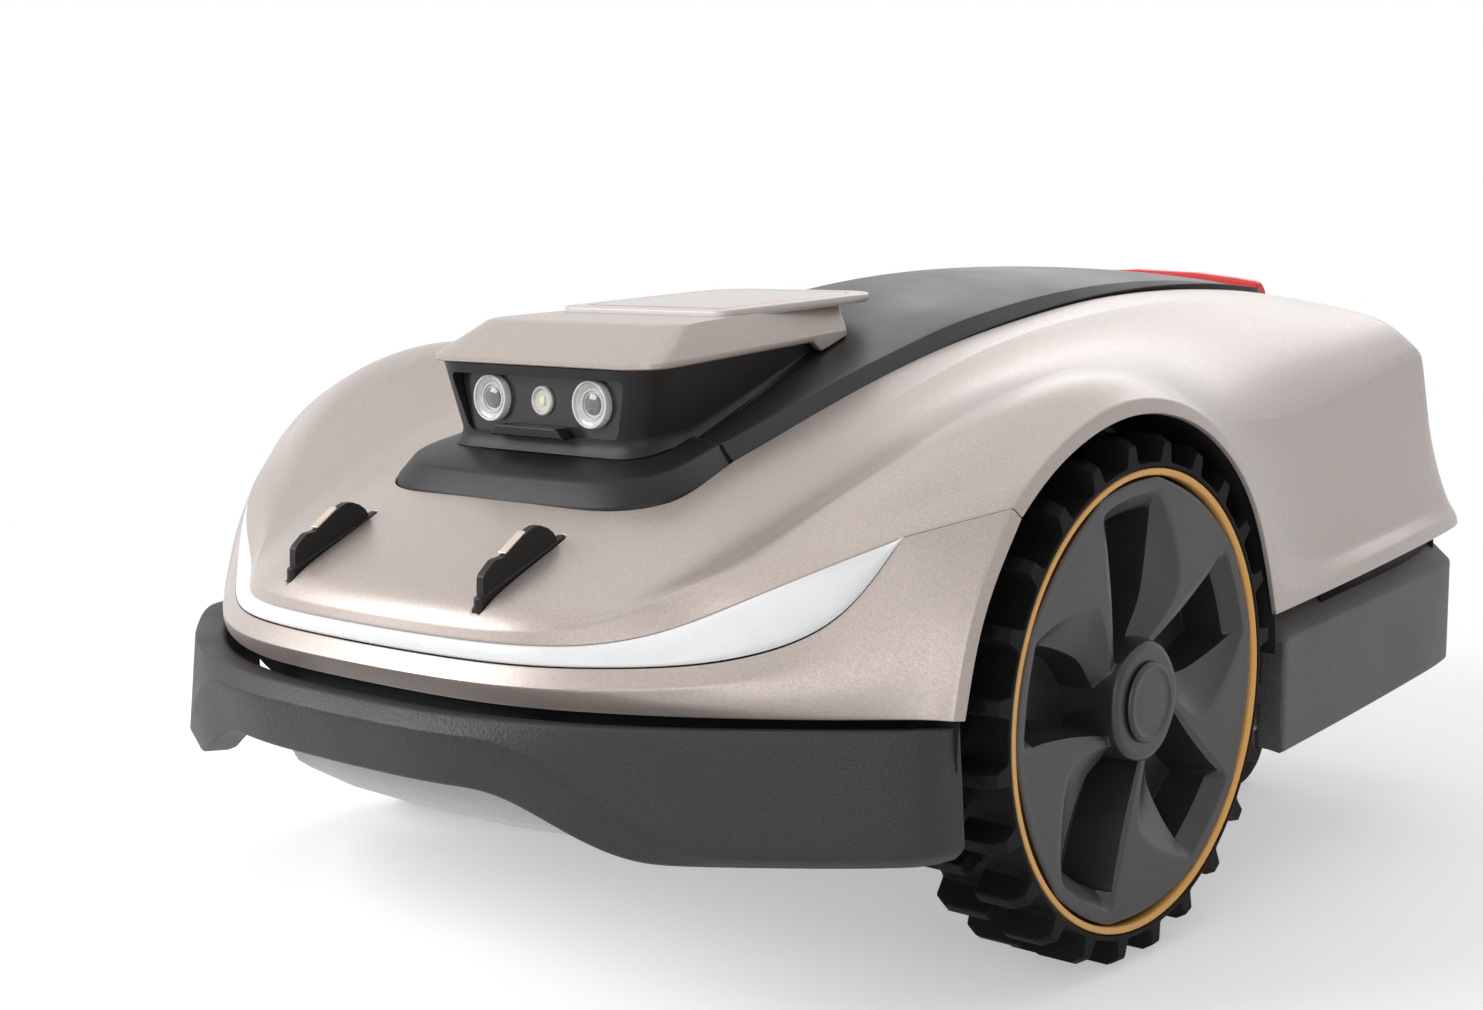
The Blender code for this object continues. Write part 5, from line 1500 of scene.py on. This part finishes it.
# A lug's section across one pitch, as (share of the pitch, share of the height).
LUG_HALF = [(0.0, 1.0), (0.078, 1.0), (0.098, 0.96), (0.125, 0.55), (0.155, 0.14), (0.185, 0.03),
            (0.24, 0.0)]


def lug_height(share):
    """Height of the lug row at a share of the pitch from a lug's middle."""
    return between(abs((share + 0.5) % 1.0 - 0.5), LUG_HALF)


class MOWER_OT_wheels(bpy.types.Operator):
    """Drive wheels: lugged tyre, coloured ring, bladed cover and hub cap"""

    bl_idname = "mower.wheels"
    bl_label = "Drive wheels"

    def tyre(self, sizes):
        root = TYRE_RADIUS - sizes.lug_height
        pitch = 360 / sizes.lugs
        inner = RIM_RADIUS + sizes.ring + 0.0008
        seat = RIM_RADIUS + 0.0004
        half = [share for share, _ in LUG_HALF]
        places = sorted({round(sign * share + base, 4) % 1.0 for share in half for sign in (1, -1)
                         for base in (0.0, 0.5)}) + [1.0]
        chamfer = sizes.lug_chamfer

        def tread(height, phase, drop):
            return [
                (root + max(0.0, sizes.lug_height * lug_height(share + phase) - drop * lug_height(share + phase)),
                 share * pitch, height) for share in places
            ]

        def flat(radius, height):
            return [(radius, share * pitch, height) for share in places]

        rows = [
            flat(seat, -0.0085), flat(inner, -0.0085), flat(inner, -0.0009), flat(inner + 0.0008, 0.0),
            tread(0.0, 0.5, chamfer), tread(-0.0035, 0.5, chamfer * 0.45), tread(-0.0065, 0.5, 0.0),
            tread(TREAD_SPLIT + 0.0016, 0.5, 0.0), tread(TREAD_SPLIT + 0.0008, 0.5, 0.0008),
            tread(TREAD_SPLIT, 0.0, 0.0008), tread(TREAD_SPLIT - 0.0008, 0.0, 0.0),
            tread(-TYRE_WIDTH + 0.0065, 0.0, 0.0), tread(-TYRE_WIDTH + 0.0035, 0.0, chamfer * 0.45),
            tread(-TYRE_WIDTH, 0.0, chamfer), flat(seat + 0.001, -TYRE_WIDTH),
            flat(seat, -TYRE_WIDTH + 0.001), flat(seat, -0.0085),
        ]
        bm = sector_ring(rows, sizes.lugs)

        def done(obj):
            soften(obj, 0.0005, 2, 34)

        both_sides("tyre_lugged_", bm, ["tread_rubber"], "tyre_", "tyre_rubber", done)

    def cover(self, sizes):
        span = 360 / sizes.pockets
        floor = -sizes.pocket_depth * 1000

        def crisp(r):
            """Angle of a blade's crisp edge: a straight line that misses the hub's middle."""
            return -13.3 - math.degrees(math.asin(17 / max(r, 30.0)))

        def crest(r):
            return -1.5 - 2.4 * max(0.0, 101 - r) / 65

        right = [(31, 0.0), (38, 6.0), (44, 11.0), (52, 12.0), (64, 10.5), (80, 8.5), (94, 6.5), (101, 5.0)]
        facet = [(31, 24.0), (50, 33.0), (62, 36.0), (71, 31.0), (80, 22.0), (92, 13.0), (101, 7.0)]
        sunk = [(31, 7.5), (45, 7.2), (60, 6.6), (76, 5.8), (94, 4.2), (101, 0.6)]

        def columns(r):
            """Angles of the feature lines of one sector."""
            start = crisp(r)
            arc = math.degrees(1 / r)
            strip = start + arc * between(r, [(31, 2.2), (60, 4.2), (85, 3.8), (97, 2.2)])
            slope = strip + arc * between(r, [(31, 2.5), (60, 5.0), (97, 4.5)])
            edge = between(r, right)
            fold = min(between(r, facet), start + span - arc * 4)
            end = start + span
            return [start, start + arc * 0.4, strip, slope, (slope + edge) / 2 - arc, edge - arc * 0.9, edge,
                    edge + arc * 0.8, edge + (fold - edge) * 0.55, fold, (fold + end) / 2, end - arc * 0.4, end]

        def blade(r):
            """Heights along those lines where the pocket is open."""
            top = crest(r)
            low = top - between(r, sunk)
            return [top, top - 0.1, top - 0.9, floor + 1.5, floor, floor + 0.4, low - 0.2, low,
                    low + (top - low) * 0.5, top, top, top, top]

        def row(r, heights):
            return [(r * MM, angle, height * MM) for angle, height in zip(columns(r), heights)]

        def level(r, height):
            return row(r, [height] * 13)

        def ramped(r, low):
            return row(r, [h if i < 3 or i > 6 else max(h, low) for i, h in enumerate(blade(r))])

        rows = [level(BORE * 1000, 1.5), level(20, 1.5), level(26.4, 1.5), level(28.6, 1.0), level(29.8, -0.6)]
        rows.append(row(30.4, [h if h < -9 else max(h, -4.5) for h in blade(31.0)]))
        for r in (31, 35, 41, 49, 57, 66, 76, 86, 92.5):
            rows.append(row(r, blade(r)))
        rows += [ramped(93.6, -9.0), ramped(98.0, -5.4), level(102.2, crest(101))]
        last = len(rows) - 1
        rows += [level(107.4, -1.2), level(108.9, -1.6), level(109.4, -2.8), level(109.5, -8.0),
                 level(109.5, -49.0), level(106.5, -49.0), level(106.5, -35.0), level(HUB_RADIUS * 1000, -35.0),
                 level(HUB_RADIUS * 1000, -60.0), level(BORE * 1000, -60.0), level(BORE * 1000, 1.5)]
        creases = [(None, column, 5, last, sharp) for column, sharp in (
            (0, 0.6), (1, 0.6), (2, 1.0), (3, 0.7), (5, 0.8), (6, 1.0), (7, 0.6), (9, 0.5), (11, 0.6), (12, 0.6),
        )]
        creases += [(line, None, 0, TO_END, sharp) for line, sharp in (
            (2, 0.6), (4, 0.5), (6, 0.9), (last - 3, 0.8), (last - 2, 0.8), (last, 0.6), (last + 1, 0.6),
            (last + 2, 0.5), (last + 5, 0.9), (last + 6, 0.9), (last + 7, 0.9), (last + 8, 0.9),
            (last + 9, 0.9), (last + 10, 0.9), (0, 0.9),
        )]
        bm = sector_ring(rows, sizes.pockets, creases, 2)
        both_sides("cover_bladed_", bm, ["wheel_satin"], "wheel_cover_", "wheel_plastic", crisp_edges)

    def execute(self, context):
        sizes = context.scene.mower_wheels
        self.tyre(sizes)
        self.cover(sizes)
        place = Matrix.Translation(WHEEL_AT) @ Z_TO_X
        low = RIM_RADIUS + 0.0004
        high = low + sizes.ring
        ring = lathe([
            (low, -0.008), (low, -0.0016), (low + 0.0008, -0.0002), (high - 0.0006, 0.0),
            (high, -0.0006), (high, -0.008), (low, -0.008),
        ], 96, place)
        both_sides("ring_", ring, ["ring_lacquer"], "accent_ring_", "orange_trim", even)
        cap = lathe([
            (0.0, 0.0019), (HUB_CAP_RADIUS + 0.002, 0.0019), (HUB_CAP_RADIUS + 0.002, 0.0030),
            (HUB_CAP_RADIUS + 0.0012, 0.0040), (HUB_CAP_RADIUS - 0.0002, 0.0046), (HUB_CAP_RADIUS - 0.0014, 0.0040),
            (HUB_CAP_RADIUS - 0.0024, 0.0036), (HUB_CAP_RADIUS - 0.005, 0.0037), (0.0, 0.0040),
        ], 64, place)
        both_sides("cap_domed_", cap, ["wheel_satin"], "hub_cap_", "wheel_plastic", even)
        for side in ("left", "right"):
            refined("axle_" + side, "axle_pin_" + side, ["bright_steel"], "wheel_" + side, 0.0005, slot="steel")
        return {"FINISHED"}


class MOWER_OT_casters(bpy.types.Operator):
    """Rear casters: fork and ribbed wheel"""

    bl_idname = "mower.casters"
    bl_label = "Casters"

    def execute(self, context):
        for side in ("left", "right"):
            refined("caster_fork_" + side, "fork_" + side, ["inner_plastic"], "caster_" + side, 0.0012,
                    slot="grey_plastic")
            low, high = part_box("caster_wheel_" + side)
            radius = (high.z - low.z) / 2
            half = (high.x - low.x) / 2
            centre = (low + high) / 2
            profile = [(0.0044, -half), (0.010, -half), (0.012, -half + 0.0015), (0.022, -half + 0.0015),
                       (0.024, -half), (radius - 0.003, -half), (radius - 0.0008, -half + 0.0015)]
            for step in range(4):
                x = -half + 0.004 + (2 * half - 0.008) * step / 3
                profile += [(radius, x - 0.0018), (radius, x + 0.0018)]
                if step < 3:
                    profile += [(radius - 0.0016, x + 0.0026), (radius - 0.0016, x + 0.0034)]
            profile += [(r, -x) for r, x in reversed(profile[:7])]
            profile.append(profile[0])
            bm = lathe(profile, 48, Matrix.Translation(centre) @ Z_TO_X)
            wheel = show("roller_tread_" + side, bm, ["tread_rubber"], "roller_" + side, "caster_wheel_" + side,
                         slot="caster_rubber")
            sharpen(wheel)
        return {"FINISHED"}


# Pieces under the hood and belly that keep their CAD shape: node, piece, finish, body, edge, slot.
INNER_PIECES = [
    ("chassis", "tub", "belly_plastic", "body", 0.0012, "pale_plastic"),
    ("drive_motor_left", "gear_motor_left", "motor_steel", "body", 0.001, "motor_can"),
    ("drive_motor_right", "gear_motor_right", "motor_steel", "body", 0.001, "motor_can"),
    ("bumper_pin_left", "guide_pin_left", "bright_steel", "bumper", 0.0006, "steel"),
    ("bumper_pin_right", "guide_pin_right", "bright_steel", "bumper", 0.0006, "steel"),
    ("battery_pack", "battery_block", "battery_wrap", "body", 0.003, "battery_case"),
    ("main_board", "circuit_board", "board_lacquer", "body", 0.0008, "board_green"),
    ("cover_mount_front_left", "mount_front_left", "tread_rubber", "body", 0.001, "tyre_rubber"),
    ("cover_mount_front_right", "mount_front_right", "tread_rubber", "body", 0.001, "tyre_rubber"),
    ("cover_mount_rear_left", "mount_rear_left", "tread_rubber", "body", 0.001, "tyre_rubber"),
    ("cover_mount_rear_right", "mount_rear_right", "tread_rubber", "body", 0.001, "tyre_rubber"),
]
CUTTER_PIECES = [
    ("lift_bridge", "bridge_plate", "inner_plastic", "body", 0.001, "grey_plastic"),
    ("lift_motor", "lift_gear_motor", "motor_steel", "body", 0.001, "motor_can"),
    ("lift_screw", "lift_spindle_rod", "bright_steel", "lift_spindle", 0.0004, "steel"),
    ("lift_carriage", "carriage_plate", "inner_plastic", "lift", 0.001, "grey_plastic"),
    ("blade_motor", "cutter_motor", "motor_steel", "lift", 0.001, "motor_can"),
    ("blade_disc", "cutter_disc", "inner_plastic", "disc", 0.0008, "grey_plastic"),
    ("blade_1", "cutter_blade_1", "bright_steel", "cutter_1", 0.0002, "steel"),
    ("blade_2", "cutter_blade_2", "bright_steel", "cutter_2", 0.0002, "steel"),
    ("blade_3", "cutter_blade_3", "bright_steel", "cutter_3", 0.0002, "steel"),
    ("blade_screw_1", "pivot_screw_1", "bright_steel", "disc", 0.0003, "steel"),
    ("blade_screw_2", "pivot_screw_2", "bright_steel", "disc", 0.0003, "steel"),
    ("blade_screw_3", "pivot_screw_3", "bright_steel", "disc", 0.0003, "steel"),
]


class MOWER_OT_chassis(bpy.types.Operator):
    """Chassis tub and the pieces inside it"""

    bl_idname = "mower.chassis"
    bl_label = "Chassis and inner pieces"

    def execute(self, context):
        for node, name, look, body, width, slot in INNER_PIECES:
            refined(node, name, [look], body, width, slot)
        return {"FINISHED"}


class MOWER_OT_cutter(bpy.types.Operator):
    """Cutting unit: lift, motor, disc and pivoting blades"""

    bl_idname = "mower.cutter"
    bl_label = "Cutting unit"

    def execute(self, context):
        for node, name, look, body, width, slot in CUTTER_PIECES:
            refined(node, name, [look], body, width, slot)
        return {"FINISHED"}


# Camera, in metres and radians, at the photograph's place.
CAMERA_AT = Vector((0.80091, -0.99233, 0.35419))
CAMERA_TURN = 0.715255
CAMERA_DOWN = 0.121972
CAMERA_SENSOR = 36.0
CAMERA_LENS = 53.405


def seen_directly(tree):
    """1 for rays that show the background: from the camera, in gloss and through glass."""
    path = tree.nodes.new("ShaderNodeLightPath")
    seen = path.outputs["Is Camera Ray"]
    for ray in ("Is Glossy Ray", "Is Transmission Ray"):
        most = tree.nodes.new("ShaderNodeMath")
        most.operation = "MAXIMUM"
        tree.links.new(seen, most.inputs[0])
        tree.links.new(path.outputs[ray], most.inputs[1])
        seen = most.outputs["Value"]
    return seen


class MOWER_OT_stage(bpy.types.Operator):
    """White floor that fades out, soft lights, sky and camera"""

    bl_idname = "mower.stage"
    bl_label = "Stage"

    def lamp(self, name, power, size, at, towards):
        light = bpy.data.lights.new(name, "AREA")
        light.energy = power
        light.shape = "RECTANGLE"
        light.size, light.size_y = size
        obj = bpy.data.objects.new(name, light)
        obj.location = at
        obj.rotation_euler = (Vector(towards) - Vector(at)).to_track_quat("-Z", "Y").to_euler()
        bpy.context.scene.collection.objects.link(obj)

    def floor(self, radius, glow):
        bm = bmesh.new()
        bmesh.ops.create_circle(bm, cap_ends=True, segments=96, radius=radius)
        mesh = bpy.data.meshes.new("floor")
        bm.to_mesh(mesh)
        bm.free()
        made = bpy.data.materials.new("floor_white")
        made.use_nodes = True
        tree = made.node_tree
        tree.nodes.clear()
        place = tree.nodes.new("ShaderNodeTexCoord")
        reach = tree.nodes.new("ShaderNodeVectorMath")
        reach.operation = "LENGTH"
        fade = tree.nodes.new("ShaderNodeMapRange")
        fade.interpolation_type = "SMOOTHSTEP"
        fade.inputs["From Min"].default_value = radius * 0.28
        fade.inputs["From Max"].default_value = radius * 0.9
        paper = tree.nodes.new("ShaderNodeBsdfDiffuse")
        paper.inputs["Color"].default_value = (0.93, 0.93, 0.93, 1)
        lift = tree.nodes.new("ShaderNodeEmission")
        lift.inputs["Strength"].default_value = glow
        seen = tree.nodes.new("ShaderNodeMixShader")
        dark = tree.nodes.new("ShaderNodeEmission")
        dark.inputs["Strength"].default_value = 0.0
        both = tree.nodes.new("ShaderNodeAddShader")
        clear = tree.nodes.new("ShaderNodeBsdfTransparent")
        blend = tree.nodes.new("ShaderNodeMixShader")
        out = tree.nodes.new("ShaderNodeOutputMaterial")
        tree.links.new(place.outputs["Object"], reach.inputs[0])
        tree.links.new(reach.outputs["Value"], fade.inputs["Value"])
        tree.links.new(fade.outputs["Result"], blend.inputs["Fac"])
        tree.links.new(seen_directly(tree), seen.inputs["Fac"])
        tree.links.new(dark.outputs["Emission"], seen.inputs[1])
        tree.links.new(lift.outputs["Emission"], seen.inputs[2])
        tree.links.new(paper.outputs["BSDF"], both.inputs[0])
        tree.links.new(seen.outputs["Shader"], both.inputs[1])
        tree.links.new(both.outputs["Shader"], blend.inputs[1])
        tree.links.new(clear.outputs["BSDF"], blend.inputs[2])
        tree.links.new(blend.outputs["Shader"], out.inputs["Surface"])
        mesh.materials.append(made)
        obj = bpy.data.objects.new("floor", mesh)
        obj.location.z = -0.0005
        bpy.context.scene.collection.objects.link(obj)

    def sky(self, strength):
        world = bpy.data.worlds.new("studio")
        bpy.context.scene.world = world
        world.use_nodes = True
        tree = world.node_tree
        tree.nodes.clear()
        soft = tree.nodes.new("ShaderNodeBackground")
        soft.inputs["Color"].default_value = (1, 1, 1, 1)
        soft.inputs["Strength"].default_value = strength
        white = tree.nodes.new("ShaderNodeBackground")
        white.inputs["Color"].default_value = (1, 1, 1, 1)
        white.inputs["Strength"].default_value = 1.0
        blend = tree.nodes.new("ShaderNodeMixShader")
        out = tree.nodes.new("ShaderNodeOutputWorld")
        tree.links.new(seen_directly(tree), blend.inputs["Fac"])
        tree.links.new(soft.outputs["Background"], blend.inputs[1])
        tree.links.new(white.outputs["Background"], blend.inputs[2])
        tree.links.new(blend.outputs["Shader"], out.inputs["Surface"])

    def execute(self, context):
        stage = context.scene.mower_stage
        context.scene.view_settings.view_transform = "Standard"
        self.floor(stage.floor, stage.glow)
        self.sky(stage.sky)
        self.lamp("top_softbox", stage.top, (1.8, 1.8), (0.1, 0.1, 2.0), (0, 0, 0.1))
        self.lamp("key_softbox", stage.key, (1.4, 1.0), (-1.1, -1.6, 1.2), (0, -0.2, 0.2))
        self.lamp("fill_softbox", stage.fill, (1.4, 1.0), (1.2, -1.6, 0.6), (0.2, -0.1, 0.15))
        self.lamp("back_softbox", stage.back, (1.4, 0.9), (-0.5, 1.7, 1.3), (0, 0.1, 0.25))
        camera = bpy.data.cameras.new("camera")
        camera.sensor_width = CAMERA_SENSOR
        camera.lens = CAMERA_LENS
        obj = bpy.data.objects.new("camera", camera)
        ahead = Vector((
            -math.sin(CAMERA_TURN) * math.cos(CAMERA_DOWN), math.cos(CAMERA_TURN) * math.cos(CAMERA_DOWN),
            -math.sin(CAMERA_DOWN),
        ))
        obj.location = CAMERA_AT
        obj.rotation_euler = ahead.to_track_quat("-Z", "Y").to_euler()
        context.scene.collection.objects.link(obj)
        context.scene.camera = obj
        return {"FINISHED"}


STEPS = [
    MOWER_OT_stage, MOWER_OT_hood, MOWER_OT_spine, MOWER_OT_turret, MOWER_OT_camera_window,
    MOWER_OT_control_plate, MOWER_OT_fins, MOWER_OT_bumper, MOWER_OT_wheels, MOWER_OT_casters,
    MOWER_OT_chassis, MOWER_OT_cutter,
]


class MOWER_PT_panel(bpy.types.Panel):
    """Lists the mower's sizes, colours and steps"""

    bl_label = "Robotic lawn mower"
    bl_idname = "MOWER_PT_panel"
    bl_space_type = "VIEW_3D"
    bl_region_type = "UI"
    bl_category = "Mower"

    def draw(self, context):
        for group in (context.scene.mower_shells, context.scene.mower_wheels, context.scene.mower_colours,
                      context.scene.mower_stage):
            box = self.layout.box()
            for name in group.__annotations__:
                box.prop(group, name)
        for step in STEPS:
            self.layout.operator(step.bl_idname)


GROUPS = {
    "mower_shells": MowerShellSizes, "mower_wheels": MowerWheelSizes, "mower_colours": MowerColours,
    "mower_stage": MowerStage,
}


def register():
    for cls in (*GROUPS.values(), *STEPS, MOWER_PT_panel):
        bpy.utils.register_class(cls)
    for name, group in GROUPS.items():
        setattr(bpy.types.Scene, name, bpy.props.PointerProperty(type=group))


def unregister():
    for name in GROUPS:
        delattr(bpy.types.Scene, name)
    for cls in reversed((*GROUPS.values(), *STEPS, MOWER_PT_panel)):
        bpy.utils.unregister_class(cls)


def main():
    register()
    bpy.ops.mower.stage()
    bpy.ops.mower.hood()
    bpy.ops.mower.spine()
    bpy.ops.mower.turret()
    bpy.ops.mower.camera_window()
    bpy.ops.mower.control_plate()
    bpy.ops.mower.fins()
    bpy.ops.mower.bumper()
    bpy.ops.mower.wheels()
    bpy.ops.mower.casters()
    bpy.ops.mower.chassis()
    bpy.ops.mower.cutter()


if __name__ == "__main__":
    main()
